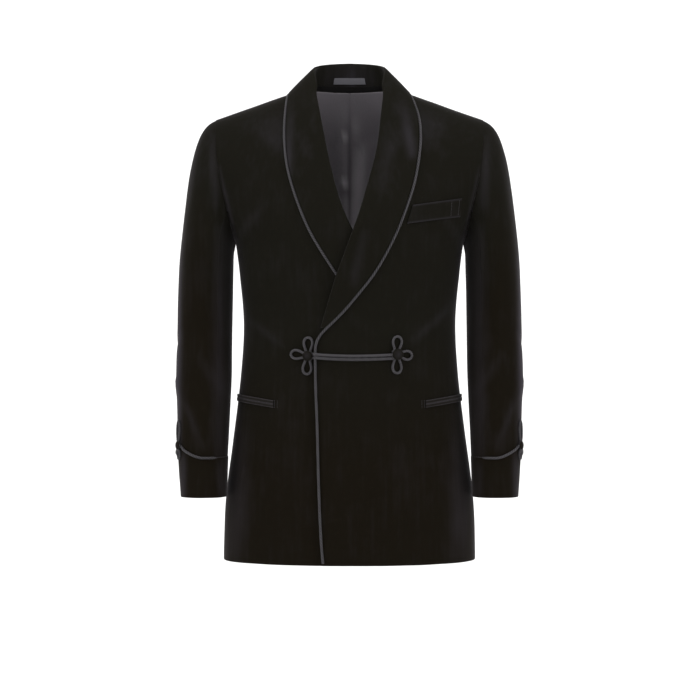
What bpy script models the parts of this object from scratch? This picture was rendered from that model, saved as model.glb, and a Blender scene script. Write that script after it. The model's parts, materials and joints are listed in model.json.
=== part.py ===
"""A velvet smoking jacket, hollow and standing open as it does when it is worn.

Millimetres inside this script, metres in the scene, +Z up. The origin lies inside the neck: z = 0 is
where the collar crosses the shoulders, y = 0 is the plane of the shoulder and side seams, and the
front faces -Y. Left and right are the wearer's, so the left front, which laps over, is at +X.
"""

import math

import bmesh
import bpy
import numpy as np

# Cloth and cord
CLOTH = 2.4
FACED_CLOTH = 2.6
LINING = 1.2
LINING_SLACK = 4.0
SEAM_GAP = 0.4
LYING_GAP = 0.8
CORD_RADIUS = 2.4
CORD_LIFT = CORD_RADIUS + 0.6
NECK_CORD_LIFT = CORD_RADIUS + 1.1
CORD_TO_CLOTH = 0.9
CORD_END = {-1: -372, 1: -771}
CORD_SIDES = 5

# Whole garment
HEM_HEIGHT = -775.0
ARMPIT_HEIGHT = -252.0
SHOULDER_SLOPE = 0.355
SHOULDER_ZERO = 98.7
SHOULDER_ROUNDING = 15.0
NECK_HALF_WIDTH = 75.0
NECK_RISE = 37.0
NECKLINE_HEIGHT = 8.4
SECTION_POWER = 2.3
SHOULDER_DROP = 300.0
SHOULDER_CURVE = 1.5
SHOULDER_ROUND = 0.55

# The body's sections: half the width at the side seam, and how far front and back stand off y = 0
BODY = (
    "height half_width front_depth back_depth",
    (
        (-790, 210, 131, 131),
        (-693, 208, 129, 129),
        (-593, 196, 125, 126),
        (-513, 186, 121, 119),
        (-452, 179.5, 119, 108),
        (-382, 176, 119, 100),
        (-302, 183, 126, 106),
        (-252, 189.5, 133, 114),
        (-225, 204, 137, 118),
        (-198, 222, 139, 120),
        (-152, 260, 138, 122),
        (-102, 335, 134, 121),
        (-50, 430, 130, 120),
        (60, 500, 128, 118),
    ),
)
ARMHOLE = (
    "height front_across back_across",
    (
        (-252, 189.5, 189.5),
        (-240, 192, 190.5),
        (-202, 199.5, 194),
        (-158, 210.5, 202),
        (-108, 218.5, 210),
        (-70, 221.5, 217),
        (-44, 223, 223),
    ),
)
# Roll of the lapels, and the cord along their outer edges, measured to each front's own side
LEFT_ROLL = (
    "height across",
    (
        (-427, -56), (-398, -48.4), (-376, -42.1), (-348, -33.8), (-306, -21.6), (-275, -9.2),
        (-251, -1), (-212, 14), (-176, 24.3), (-138, 34.8), (-98, 45.2), (-45, 50.8), (-5, 55.5),
    ),
)
RIGHT_ROLL = (
    "height across",
    (
        (-427, -56), (-398, -52.5), (-348, -45.9), (-308, -36.2), (-275, -23.3), (-251, -13.7),
        (-232, -4.8), (-202, 10.6), (-160, 22.9), (-106, 35.5), (-36, 48.5), (-5, 54.5),
    ),
)
LEFT_CORD = (
    "height across",
    (
        (-775, -42), (-746, -44.9), (-651, -49.3), (-544, -52.1), (-471, -54.8), (-427, -55),
        (-412, -52.5), (-400, -44.4), (-386, -29.8), (-361, -5.2), (-336, 15.3), (-310, 35.9),
        (-277, 56.5), (-244, 73), (-215, 85.3), (-190, 94.4), (-157, 104.9), (-116, 112.7),
        (-79, 116.4), (-48, 114.9), (-28, 109.2),
    ),
)
RIGHT_CORD = (
    "height across",
    (
        (-427, -57.3), (-414, -54.1), (-392, -44.4), (-366, -26.6), (-336, -4), (-304, 21.7),
        (-267, 45.8), (-240, 62), (-203, 78.5), (-161, 93.2), (-133, 100.7), (-101, 105.2),
        (-66, 106.9), (-34, 105.4), (-28, 104.8),
    ),
)
# The cloth's own front edge, from hem to neck point; between the two middle rows it follows the roll
FRONT_EDGE_BELOW = (
    "height across",
    (
        (-775, -44.5), (-651, -51.8), (-544, -54.6), (-427, -57.4), (-412, -55), (-404, -51),
        (-398, -47),
    ),
)
FRONT_EDGE_NECK = ("height across", ((-30, 57), (-17, 60.8), (-7.5, 64), (0.5, 69), (7.9, 75)))
ROLL_TO_CLOTH = 4.3
# Where the two fronts part: how far the left front stands over the right one
OVERLAP_LIFT = 3.2
LAPEL_UNDER_LIFT = 5.6
# The shawl collar round the neck, from centre back over the shoulder seam (station 4) to the chest
COLLAR_NECK = (
    "station seam_x seam_y seam_z roll_x roll_y roll_z right_edge left_edge edge_z",
    (
        (0, 0.2, 57.6, 9.0, 0.2, 56, 58, 0.5, 0.5, -8.5),
        (1, 28, 54.2, 9.0, 24, 53.5, 56.8, 33, 33, -8),
        (2, 52, 41, 9.2, 44, 41, 53.5, 66, 66, -7),
        (3, 66, 22, 9.4, 56.5, 24, 48.5, 87.5, 87, -5),
        (4, 72.5, 1, 9.8, 61, 5, 43, 101, 99.5, -1.2),
        (5, 68.5, -17, 6, 58.5, -13, 28, 103.5, 104, -14),
        (6, 63.0, -28, -0.5, 56.3, -27, 12, 104.8, 109.2, -28),
    ),
)
LAPEL_SECTIONS = (
    "roll_height edge_drop",
    ((-392, 0), (-280, 3), (-180, 10), (-80, 22), (-36, 30), (-4, 36)),
)
LAPEL_ROWS = (-4, -20, -45, -75, -110, -145, -180, -215, -245, -275, -305, -335, -360, -378, -391)
LAPEL_HOOK = (
    "along above",
    ((1.2, -2.3), (0.35, -1.2), (0.0, 0.2), (0.25, 1.6), (1.1, 3.0), (3.0, 3.7)),
)
LAPEL_HEIGHT = 3.7
LAPEL_END = {-1: -384, 1: -391}

# Sleeves: outer and inner edge seen from the front, front and back edge seen from the side
SLEEVE = (
    "height outer inner front back",
    (
        (-690, 276, 203, -97, 1),
        (-668, 277.3, 202.3, -96, 0),
        (-593, 283, 200.5, -90, 17),
        (-513, 286, 197, -81, 37),
        (-452, 287.5, 195.3, -75, 52),
        (-392, 287, 195, -71, 64),
        (-332, 286, 194.5, -73, 73),
        (-272, 283, 193, -78, 78),
    ),
)
SLEEVE_POWER = 2.2
SLEEVE_TOP_RING = -272.0
ARMHOLE_MIDDLE = -148.0
ARMHOLE_HALF_HEIGHT = 104.0
TURNS = 24
SEAM_TURN = 8
CUFF_HEIGHT = -668.0
CUFF_LINE = -603.0
CUFF_LINE_RISE = 20.0
# The cord climbs to the cuff's frog over this many degrees round the sleeve, on each side of it
CUFF_RISE_REACH = 57.0
CUFF_PROUD = 0.8
CUFF_SIDE_RADIUS = 47.0

# Folds in the cloth, as soft ridges on a line seen from the front: below zero is a trough
FRONT_FOLDS = (
    "side from_x from_z to_x to_z reach depth",
    (
        (-1, -172, -385, -100, -425, 17, 2.6),
        (-1, -150, -340, -88, -398, 16, -1.8),
        (1, 176, -352, 96, -420, 17, 2.8),
        (1, 160, -408, 104, -448, 15, -1.6),
        (1, 60, -462, -20, -468, 10, 1.2),
        (-1, -178, -285, -120, -235, 18, -2.2),
        (1, 178, -285, 120, -235, 18, -2.2),
    ),
)
BACK_FOLDS = (
    "side from_x from_z to_x to_z reach depth",
    (
        (-1, -165, -350, -70, -395, 18, 2.6),
        (-1, -150, -405, -60, -430, 16, -2.0),
        (1, 168, -362, 75, -402, 18, 2.4),
        (1, 148, -418, 64, -436, 16, -1.8),
    ),
)
# Sleeve creases: where round the arm they start and end (0 outer side, 90 front), and at what height
SLEEVE_FOLDS = (
    "from_turn from_z to_turn to_z reach depth",
    (
        (15, -455, 95, -560, 20, 2.8),
        (60, -405, 140, -452, 18, -2.6),
        (75, -440, 165, -480, 17, 2.2),
        (150, -330, 95, -300, 18, -2.4),
        (215, -440, 300, -470, 19, 2.4),
        (205, -330, 275, -300, 18, -2.2),
    ),
)

# Fastening: middle of each velvet button, seen from the front, and the double cord between them
RIGHT_BUTTON = (-66.5, -437.0)
LEFT_BUTTON = (75.8, -434.2)
RIGHT_BUTTON_RADIUS = 8.7
LEFT_BUTTON_RADIUS = 9.8
BUTTON_HALF_HEIGHT = 4.2
# How far the rounded back of a button or knot sits down between its cords
BUTTON_SEAT = 0.9
KNOT_SEAT = 0.12
FROG_RADIUS = 2.3
FROG_LIFT = FROG_RADIUS + 0.6
LOOP = ("out aside", ((0.25, 2.9), (0.42, 5.3), (0.6, 7.3), (0.79, 7.2), (0.94, 4.4), (1.0, 0)))
RIGHT_LOOPS = ("turn length", ((90, 30.5), (173, 29.0), (265, 30.5)))
LEFT_LOOPS = ("turn length", ((87, 29.4), (-6, 24.8), (271, 31.4)))
BAR_RADIUS = 2.5
BAR_SPACING = 5.5
BAR_OVER_EDGE = -55.0
BAR = (
    "across height",
    ((-58.4, -437.0), (-30, -439.2), (4, -440.2), (40, -439.6), (65.4, -438.2)),
)
CUFF_FROG_TURN = 35.0
CUFF_LOOPS = (
    "name low high half_width above",
    (("upper", -578.5, -543.0, 8.6, 1.7), ("lower", -606.5, -589.5, 7.6, 2.5)),
)
CUFF_LOOP_RADIUS = 2.1
CUFF_KNOT_HEIGHT = -583.5
CUFF_KNOT_RADIUS = 7.0
CUFF_KNOT_HALF_HEIGHT = 2.0

# Pockets, on the panels they are cut into
WELT = (
    "end top_x top_z bottom_x bottom_z",
    ((0, 102.0, -193.6, 92.7, -223.6), (1, 182.0, -180.2, 179.4, -209.4)),
)
POCKET_FRONT = (123.4, -515.4)
POCKET_SIDE_HEIGHT = -506.0
JET_DEPTH = 5.4
JET_PROUD = 1.6
JET_COLUMNS = 10


class Curve:
    """A smooth line through one column of a table, read at any place along the first column."""

    def __init__(self, table, column):
        names, rows = table
        rows = sorted(rows)
        at = names.split().index(column)
        self.place = np.array([row[0] for row in rows], float)
        self.value = np.array([row[at] for row in rows], float)
        slope = np.diff(self.value) / np.diff(self.place)
        before, after = slope[:-1], slope[1:]
        same_way = before * after > 0
        total = np.where(same_way, before + after, 1.0)
        middle = np.where(same_way, 2 * before * after / total, 0.0)
        self.slope = np.concatenate([slope[:1], middle, slope[-1:]])

    def __call__(self, place):
        place = min(max(place, self.place[0]), self.place[-1])
        k = min(int(np.searchsorted(self.place, place, side="right")) - 1, len(self.place) - 2)
        step = self.place[k + 1] - self.place[k]
        t = (place - self.place[k]) / step
        rise = (1 - t) ** 2 * (1 + 2 * t) * self.value[k] + t * t * (3 - 2 * t) * self.value[k + 1]
        lean = t * (1 - t) ** 2 * self.slope[k] - t * t * (1 - t) * self.slope[k + 1]
        return rise + step * lean


def columns(table):
    """One dictionary for each row of a table, by column name."""
    names, rows = table
    return [dict(zip(names.split(), row)) for row in rows]


def soft_step(value, low, high):
    t = min(max((value - low) / (high - low), 0.0), 1.0)
    return t * t * (3 - 2 * t)


def unit(vector):
    return vector / np.linalg.norm(vector)


def mix(a, b, share):
    return a + (b - a) * share


half_width = Curve(BODY, "half_width")
front_depth = Curve(BODY, "front_depth")
back_depth = Curve(BODY, "back_depth")
front_across = Curve(ARMHOLE, "front_across")
back_across = Curve(ARMHOLE, "back_across")
roll_across = {-1: Curve(RIGHT_ROLL, "across"), 1: Curve(LEFT_ROLL, "across")}
cord_across = {-1: Curve(RIGHT_CORD, "across"), 1: Curve(LEFT_CORD, "across")}
edge_below = Curve(FRONT_EDGE_BELOW, "across")
edge_neck = Curve(FRONT_EDGE_NECK, "across")


def shoulder_height(x):
    return SHOULDER_SLOPE * (SHOULDER_ZERO - math.hypot(x, SHOULDER_ROUNDING))


def shoulder_cap(drop):
    """How far the chest or back has come forward, from 0 on the shoulder seam to 1 well below it."""
    left = 1 - min(max(drop / SHOULDER_DROP, 0.0), 1.0)
    return (1 - left**SHOULDER_CURVE) ** SHOULDER_ROUND


def section(x, z):
    """The share of its full depth that a section has at x, from 1 in the middle to 0 at the side."""
    share = min(abs(x) / half_width(z), 1.0)
    return (1 - share**SECTION_POWER) ** (1 / SECTION_POWER)


def folds_at(table, x, z):
    total = 0.0
    for fold in columns(table):
        along = np.array([fold["to_x"] - fold["from_x"], fold["to_z"] - fold["from_z"]], float)
        offset = np.array([x - fold["from_x"], z - fold["from_z"]], float)
        share = offset @ along / (along @ along)
        if fold["side"] * x < -60 or not -0.3 < share < 1.3:
            continue
        aside = np.linalg.norm(offset - share * along) / fold["reach"]
        fade = soft_step(share, -0.3, 0.25) * (1 - soft_step(share, 0.75, 1.3))
        total += fold["depth"] * fade * math.exp(-aside * aside)
    return total


def right_front(x, z):
    """y of the right front's outer face, and of the figure under the left one."""
    depth = front_depth(z) * section(x, z) * shoulder_cap(shoulder_height(x) - z)
    return -max(depth + folds_at(FRONT_FOLDS, x, z) * section(x, z), SEAM_GAP / 2)


def left_front(x, z):
    """The left front lies over the right one, and over its lapel and cord where they pass below."""
    cord_below = -cord_across[-1](z)
    over_lapel = soft_step(x, cord_below - 52, cord_below - 4) * soft_step(z, -490, -432)
    lift = OVERLAP_LIFT + LAPEL_UNDER_LIFT * over_lapel
    lift *= (1 - soft_step(x, 62, 132)) * (1 - soft_step(z, -205, -120))
    return right_front(x, z) - lift


def back(x, z):
    """y of the back's outer face; between the neck points it rises past the shoulder line."""
    rise = NECK_RISE * max(1 - (x / NECK_HALF_WIDTH) ** 2, 0) ** 1.5
    depth = back_depth(z) * section(x, z) * shoulder_cap(shoulder_height(x) + rise - z)
    return max(depth + folds_at(BACK_FOLDS, x, z) * section(x, z), SEAM_GAP / 2)


FRONT = {-1: right_front, 1: left_front}


def on_surface(surface, x, z, above=0.0):
    """A point on a panel's outer face, moved out by some height, and the face's normal there."""
    step = 1.0
    lean_x = (surface(x + step, z) - surface(x - step, z)) / (2 * step)
    lean_z = (surface(x, z + step) - surface(x, z - step)) / (2 * step)
    y = surface(x, z)
    normal = unit(np.array([-lean_x, 1.0, -lean_z]) * (1 if y > 0 else -1))
    return np.array([x, y, z]) + normal * above, normal


def front_edge(side, z):
    """x of a front's own edge, to its own side: the roll above the fastening, the lap below it."""
    if z < -398:
        return edge_below(z)
    if z > -30:
        return edge_neck(z)
    start = soft_step(z, -398, -392)
    near_neck = soft_step(z, -60, -30)
    roll = roll_across[side](z) + ROLL_TO_CLOTH
    return mix(mix(edge_below(-398), roll, start), edge_neck(-30), near_neck)


# Building meshes


def material(name, colour, roughness, metallic=0.0):
    linear = []
    for k in (1, 3, 5):
        value = int(colour[k : k + 2], 16) / 255
        linear.append(value / 12.92 if value <= 0.04045 else ((value + 0.055) / 1.055) ** 2.4)
    made = bpy.data.materials.new(name)
    made.use_nodes = True
    shader = made.node_tree.nodes["Principled BSDF"]
    shader.inputs["Base Color"].default_value = (*linear, 1)
    shader.inputs["Roughness"].default_value = roughness
    shader.inputs["Metallic"].default_value = metallic
    made.diffuse_color = (*linear, 1)
    return made


def add_object(name, points, faces, made_of):
    """One closed body from its points, in millimetres, and its faces."""
    shape = bmesh.new()
    corners = [shape.verts.new(np.asarray(point) / 1000) for point in points]
    for face in faces:
        shape.faces.new([corners[k] for k in face])
    bmesh.ops.recalc_face_normals(shape, faces=shape.faces)
    mesh = bpy.data.meshes.new(name)
    shape.to_mesh(mesh)
    shape.free()
    mesh.materials.append(made_of)
    mesh.shade_smooth()
    mesh.set_sharp_from_angle(angle=math.radians(40))
    made = bpy.data.objects.new(name, mesh)
    bpy.context.scene.collection.objects.link(made)
    return made


def grid_normals(grid, outward, around=False):
    """Unit normals of a grid of points, turned to the side that outward(point) points to."""
    if around:
        along = np.roll(grid, -1, axis=1) - np.roll(grid, 1, axis=1)
    else:
        along = np.gradient(grid, axis=1)
    up = np.gradient(grid, axis=0)
    normals = np.cross(along, up)
    normals /= np.linalg.norm(normals, axis=2, keepdims=True)
    middle = (grid.shape[0] // 2, grid.shape[1] // 2)
    turn = 1 if normals[middle] @ np.asarray(outward, float) > 0 else -1
    return normals * turn


def add_wall(name, grid, normals, thickness, made_of, around=False):
    """A cloth wall: its outer face is the grid, its inner face the grid moved in along the normals."""
    rows, across = grid.shape[:2]
    points = np.concatenate([grid.reshape(-1, 3), (grid - normals * thickness).reshape(-1, 3)])
    inner = rows * across
    faces = []
    last = across if around else across - 1
    for i in range(rows - 1):
        for j in range(last):
            k = (j + 1) % across
            a, b, c, d = i * across + j, i * across + k, (i + 1) * across + k, (i + 1) * across + j
            faces += [(a, b, c), (a, c, d)]
            faces += [(c + inner, b + inner, a + inner), (d + inner, c + inner, a + inner)]
    for j in range(last):
        k = (j + 1) % across
        for row in (0, rows - 1):
            a, b = row * across + j, row * across + k
            faces.append((a, b, b + inner, a + inner))
    if not around:
        for i in range(rows - 1):
            for column in (0, across - 1):
                a, b = i * across + column, (i + 1) * across + column
                faces.append((a, b, b + inner, a + inner))
    return add_object(name, points, faces, made_of)


def add_cord(name, path, normals, radius, made_of, closed=False):
    """A round cord along a path, its sections squared to the cloth's normals below it."""
    path = np.asarray(path, float)
    count = len(path)
    rings = []
    for k in range(count):
        if closed:
            ahead = path[(k + 1) % count] - path[k - 1]
        else:
            ahead = path[min(k + 1, count - 1)] - path[max(k - 1, 0)]
        ahead = unit(ahead)
        aside = unit(np.cross(ahead, normals[k]))
        up = np.cross(aside, ahead)
        turns = [2 * math.pi * (side + 0.5) / CORD_SIDES for side in range(CORD_SIDES)]
        rings.append([path[k] + radius * (math.cos(a) * aside + math.sin(a) * up) for a in turns])
    points = np.array(rings).reshape(-1, 3)
    faces = []
    for k in range(count if closed else count - 1):
        here, there = k * CORD_SIDES, (k + 1) % count * CORD_SIDES
        for side in range(CORD_SIDES):
            after = (side + 1) % CORD_SIDES
            faces.append((here + side, here + after, there + after, there + side))
    if not closed:
        faces.append(tuple(range(CORD_SIDES)))
        faces.append(tuple(range((count - 1) * CORD_SIDES, count * CORD_SIDES)))
    return add_object(name, points, faces, made_of)


def add_button(name, middle, normal, radius, half_height, made_of):
    """A cloth-covered button: a squashed ball lying on its cords."""
    shape = bmesh.new()
    bmesh.ops.create_uvsphere(shape, u_segments=12, v_segments=8, radius=1)
    normal = unit(normal)
    aside = unit(np.cross(normal, (0.0, 0.0, 1.0)))
    up = np.cross(aside, normal)
    points = [
        middle + radius * (v.co.x * aside + v.co.y * up) + half_height * v.co.z * normal for v in shape.verts
    ]
    faces = [tuple(v.index for v in face.verts) for face in shape.faces]
    shape.free()
    return add_object(name, points, faces, made_of)


# The body's panels

BACK_ROWS = (
    HEM_HEIGHT, -735, -690, -645, -600, -555, -510, -470, -440, -410, -380, -345, -310, -280
)
FRONT_ROWS = (
    HEM_HEIGHT, -735, -690, -645, -600, -555, -515, -480, -455, -432, -412, -398, -391, -372, -352,
    -332, -310, -282,
)
FRONT_COLUMNS = 14
BACK_COLUMNS = 11
SHOULDER_NORMAL_LEAN = math.atan(SHOULDER_SLOPE)


def armhole_height(turn):
    """Height of the armhole seam at a turn of the sleeve: 0 at the shoulder, 180 under the arm."""
    return ARMHOLE_MIDDLE + ARMHOLE_HALF_HEIGHT * math.cos(math.radians(turn))


def depth_below_shoulder(side, drop):
    """(x, z) on a front's edge that lies this far below the shoulder line."""
    low, high = ARMPIT_HEIGHT, FRONT_EDGE_NECK[1][-1][0]
    for _ in range(40):
        z = (low + high) / 2
        if shoulder_height(front_edge(side, z)) - z > drop:
            low = z
        else:
            high = z
    return front_edge(side, z), z


def spread(x_from, x_to, full, depth, count):
    """Places from one x to another, evenly along the section's curve, which turns the side."""
    start, end = (math.asin(max(min(x / full, 1), -1)) for x in (x_from, x_to))
    turns = np.linspace(start, end, 81)
    across = full * np.sin(turns)
    out = depth * (1 - np.abs(np.sin(turns)) ** SECTION_POWER) ** (1 / SECTION_POWER)
    walked = np.concatenate([[0], np.cumsum(np.hypot(np.diff(across), np.diff(out)))])
    places = np.interp(np.linspace(0, walked[-1], count), walked, across)
    places[0], places[-1] = x_from, x_to
    return places


def front_grid(side):
    """Rows of points of a front from hem to shoulder, each from the side seam to the front edge."""
    surface = FRONT[side]
    rows = []
    for z in FRONT_ROWS:
        full = half_width(z)
        places = spread(full, front_edge(side, z), full, front_depth(z), FRONT_COLUMNS)
        rows.append([(side * a, surface(side * a, z), z) for a in places])
    armpit_drop = shoulder_height(front_edge(side, ARMPIT_HEIGHT)) - ARMPIT_HEIGHT
    side_drop = shoulder_height(half_width(ARMPIT_HEIGHT)) - ARMPIT_HEIGHT
    for step in range(TURNS // 2 + 1):
        z_arm = armhole_height(180 - step * 360 / TURNS)
        across = front_across(z_arm)
        drop = shoulder_height(across) - z_arm
        x_edge, z_edge = depth_below_shoulder(side, armpit_drop * drop / side_drop)
        places = spread(across, x_edge, half_width(z_arm), front_depth(z_arm), FRONT_COLUMNS)
        edge_drop = shoulder_height(x_edge) - z_edge
        row = []
        for k, a in enumerate(places):
            z = shoulder_height(a) - mix(drop, edge_drop, k / (FRONT_COLUMNS - 1))
            row.append((side * a, surface(side * a, z), z))
        rows.append(row)
    return np.array(rows)


def back_grid(side):
    """Rows of a back panel from hem to shoulder and neckline, each from the side seam to centre back."""
    rows = []
    centre = SEAM_GAP / 2
    for z in BACK_ROWS:
        full = half_width(z)
        places = spread(full, centre, full, back_depth(z), BACK_COLUMNS)
        rows.append([(side * a, back(side * a, z), z) for a in places])
    side_drop = shoulder_height(half_width(ARMPIT_HEIGHT)) - ARMPIT_HEIGHT
    centre_drop = NECKLINE_HEIGHT - ARMPIT_HEIGHT
    for step in range(TURNS // 2 + 1):
        z_arm = armhole_height(180 - step * 360 / TURNS)
        across = back_across(z_arm)
        drop = shoulder_height(across) - z_arm
        at_centre = centre_drop * drop / side_drop
        row = []
        places = spread(across, centre, half_width(z_arm), back_depth(z_arm), BACK_COLUMNS)
        for k, a in enumerate(places):
            top = shoulder_height(max(a, NECK_HALF_WIDTH))
            top = mix(NECKLINE_HEIGHT, top, min(a / NECK_HALF_WIDTH, 1))
            z = top - mix(drop, at_centre, k / (BACK_COLUMNS - 1))
            row.append((side * a, back(side * a, z), z))
        rows.append(row)
    return np.array(rows)


def panel_normals(grid, side, facing):
    """Normals of a panel, made to match its neighbour's along the side and shoulder seams."""
    normals = grid_normals(grid, (0, facing, 0))
    below = len(BACK_ROWS if facing > 0 else FRONT_ROWS) + 1
    normals[:below, 0] = (side, 0, 0)
    on_seam = np.abs(grid[-1, :, 1]) < SEAM_GAP
    lean = (side * math.sin(SHOULDER_NORMAL_LEAN), 0, math.cos(SHOULDER_NORMAL_LEAN))
    normals[-1, on_seam] = lean
    if facing > 0:
        normals[:, -1, 0] = 0
        normals /= np.linalg.norm(normals, axis=2, keepdims=True)
    return normals


def add_back_lining(grid, normals, name, satin):
    """Half of the back's lining: it is sewn in at the seams and stands a little off between them."""
    last_row, last_column = len(grid) - 1, BACK_COLUMNS - 1
    rows = [1, *range(2, last_row, 2), last_row]
    across = range(BACK_COLUMNS)
    points = []
    for i in rows:
        at_top = soft_step(last_row - i, 0, 4)
        slack = [at_top * (0.4 + LINING_SLACK * soft_step(j / last_column, 0, 0.3)) for j in across]
        points.append([grid[i, j] - normals[i, j] * (CLOTH + LYING_GAP + s) for j, s in zip(across, slack)])
    add_wall("back_lining_" + name, np.array(points), normals[np.ix_(rows, across)], LINING, satin)


# Sleeves

sleeve_outer = Curve(SLEEVE, "outer")
sleeve_inner = Curve(SLEEVE, "inner")
sleeve_front = Curve(SLEEVE, "front")
sleeve_back = Curve(SLEEVE, "back")
CAP_STEPS = (0, 0.12, 0.27, 0.44, 0.62, 0.81, 1.0)
ARM_ROWS = (-305, -340, -375, -410, -440, -470, -505, -540, -572)


def power(value, exponent):
    return math.copysign(abs(value) ** exponent, value)


def sleeve_ring(turn, z, proud=0.0):
    """A point of the left sleeve: turn 0 is the outer side, 90 the front, 180 the inner side."""
    bend = math.radians(turn)
    fold = 0.0
    for crease in columns(SLEEVE_FOLDS):
        start = np.array([crease["from_turn"], crease["from_z"]], float)
        along = np.array([crease["to_turn"], crease["to_z"]]) - start
        offset = np.array([turn % 360, z]) - start
        share = offset @ along / (along @ along)
        if not -0.3 < share < 1.3:
            continue
        aside = np.linalg.norm(offset - share * along) / crease["reach"]
        fade = soft_step(share, -0.3, 0.25) * (1 - soft_step(share, 0.75, 1.3))
        fold += crease["depth"] * fade * math.exp(-aside * aside)
    fold *= soft_step(z, CUFF_LINE, CUFF_LINE + 60) * (1 - soft_step(z, -310, -275))
    half_x = (sleeve_outer(z) - sleeve_inner(z)) / 2
    half_y = (sleeve_back(z) - sleeve_front(z)) / 2
    x = sleeve_inner(z) + half_x + (half_x + fold + proud) * power(math.cos(bend), 2 / SLEEVE_POWER)
    y = sleeve_front(z) + half_y - (half_y + fold + proud) * power(math.sin(bend), 2 / SLEEVE_POWER)
    return np.array([x, y, z])


def cap_point(turn, t):
    """A point between the armhole seam (t = 0) and the sleeve's first full ring (t = 1)."""
    bend = math.radians(turn)
    z = armhole_height(turn)
    if math.sin(bend) >= 0:
        across = front_across(z)
        start = np.array([across + SEAM_GAP, right_front(across, z), z])
        if abs(turn % 180) < 1:
            start[1] = 0
    else:
        across = back_across(z)
        start = np.array([across + SEAM_GAP, back(across, z), z])
    end = sleeve_ring(turn, SLEEVE_TOP_RING)
    top, bottom, aside = max(math.cos(bend), 0) ** 2, max(-math.cos(bend), 0) ** 2, math.sin(bend) ** 2
    facing = -1 if math.sin(bend) >= 0 else 1
    across = 39 * top + 15 * aside + 0.3 * bottom
    down = 8 * top + 28 * aside + 7 * bottom
    leave = np.array([across, facing * 11 * aside, -down])
    arrive = np.array([-15 * top, 0, 142 * top + 44 * aside + 7 * bottom])
    first, second = start + leave, end + arrive
    return (1 - t) ** 3 * start + 3 * t * (1 - t) ** 2 * first + 3 * t * t * (1 - t) * second + t**3 * end


def cuff_line(turn):
    away = abs((turn - CUFF_FROG_TURN + 180) % 360 - 180)
    return CUFF_LINE + CUFF_LINE_RISE * max(1 - away / CUFF_RISE_REACH, 0) ** 1.5


def sleeve_grid(side):
    """The whole sleeve down to the cuff's cord, as rings of points and their normals."""
    turns = [k * 360 / TURNS for k in range(TURNS)]
    rows = [[cap_point(turn, t) for turn in turns] for t in CAP_STEPS]
    rows += [[sleeve_ring(turn, z) for turn in turns] for z in ARM_ROWS]
    rows.append([sleeve_ring(turn, cuff_line(turn) + SEAM_GAP / 2) for turn in turns])
    grid = np.array(rows)
    grid[:, :, 0] *= side
    normals = grid_normals(grid, (0, 0, 0), around=True)
    if normals[-3, 0] @ np.array([side, 0, 0]) < 0:
        normals *= -1
    return grid, normals


def add_sleeve(side, name, velvet):
    grid, normals = sleeve_grid(side)
    parts = (
        ("top_sleeve_", range(-SEAM_TURN, SEAM_TURN + 1)),
        ("under_sleeve_", range(SEAM_TURN, TURNS - SEAM_TURN + 1)),
    )
    for prefix, picked in parts:
        picked = [k % TURNS for k in picked]
        points, across = grid[:, picked].copy(), normals[:, picked]
        for edge, inside in ((0, 1), (-1, -2)):
            inward = points[:, inside] - points[:, edge]
            inward /= np.linalg.norm(inward, axis=1, keepdims=True)
            points[:, edge] += inward * SEAM_GAP / 2
        add_wall(prefix + name, points, across, CLOTH, velvet)


def cuff_point(turn, share):
    """On the cuff, from the cord's line (0) to its bottom edge (1)."""
    z = mix(cuff_line(turn) - SEAM_GAP / 2, CUFF_HEIGHT, share)
    return sleeve_ring(turn, z, CUFF_PROUD)


def add_cuff(side, name, velvet):
    turns = [k * 360 / TURNS for k in range(TURNS)]
    grid = np.array([[cuff_point(turn, share) for turn in turns] for share in (0, 0.5, 1)])
    grid[:, :, 0] *= side
    normals = grid_normals(grid, (0, 0, 0), around=True)
    if normals[1, 0] @ np.array([side, 0, 0]) < 0:
        normals *= -1
    normals[:, :, 2] = 0
    normals /= np.linalg.norm(normals, axis=2, keepdims=True)
    add_wall("cuff_" + name, grid, normals, CLOTH, velvet, around=True)


def sleeve_surface(turn, z, above):
    """A point above the sleeve or cuff, and the normal there, on the left side."""
    point = sleeve_ring(turn, z, CUFF_PROUD)
    along = sleeve_ring(turn + 2, z, CUFF_PROUD) - sleeve_ring(turn - 2, z, CUFF_PROUD)
    up = sleeve_ring(turn, z + 3, CUFF_PROUD) - sleeve_ring(turn, z - 3, CUFF_PROUD)
    normal = unit(np.cross(up, along))
    middle_x = (sleeve_inner(z) + sleeve_outer(z)) / 2
    middle_y = (sleeve_front(z) + sleeve_back(z)) / 2
    if normal @ (point - np.array([middle_x, middle_y, z])) < 0:
        normal = -normal
    return point + normal * above, normal


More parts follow.
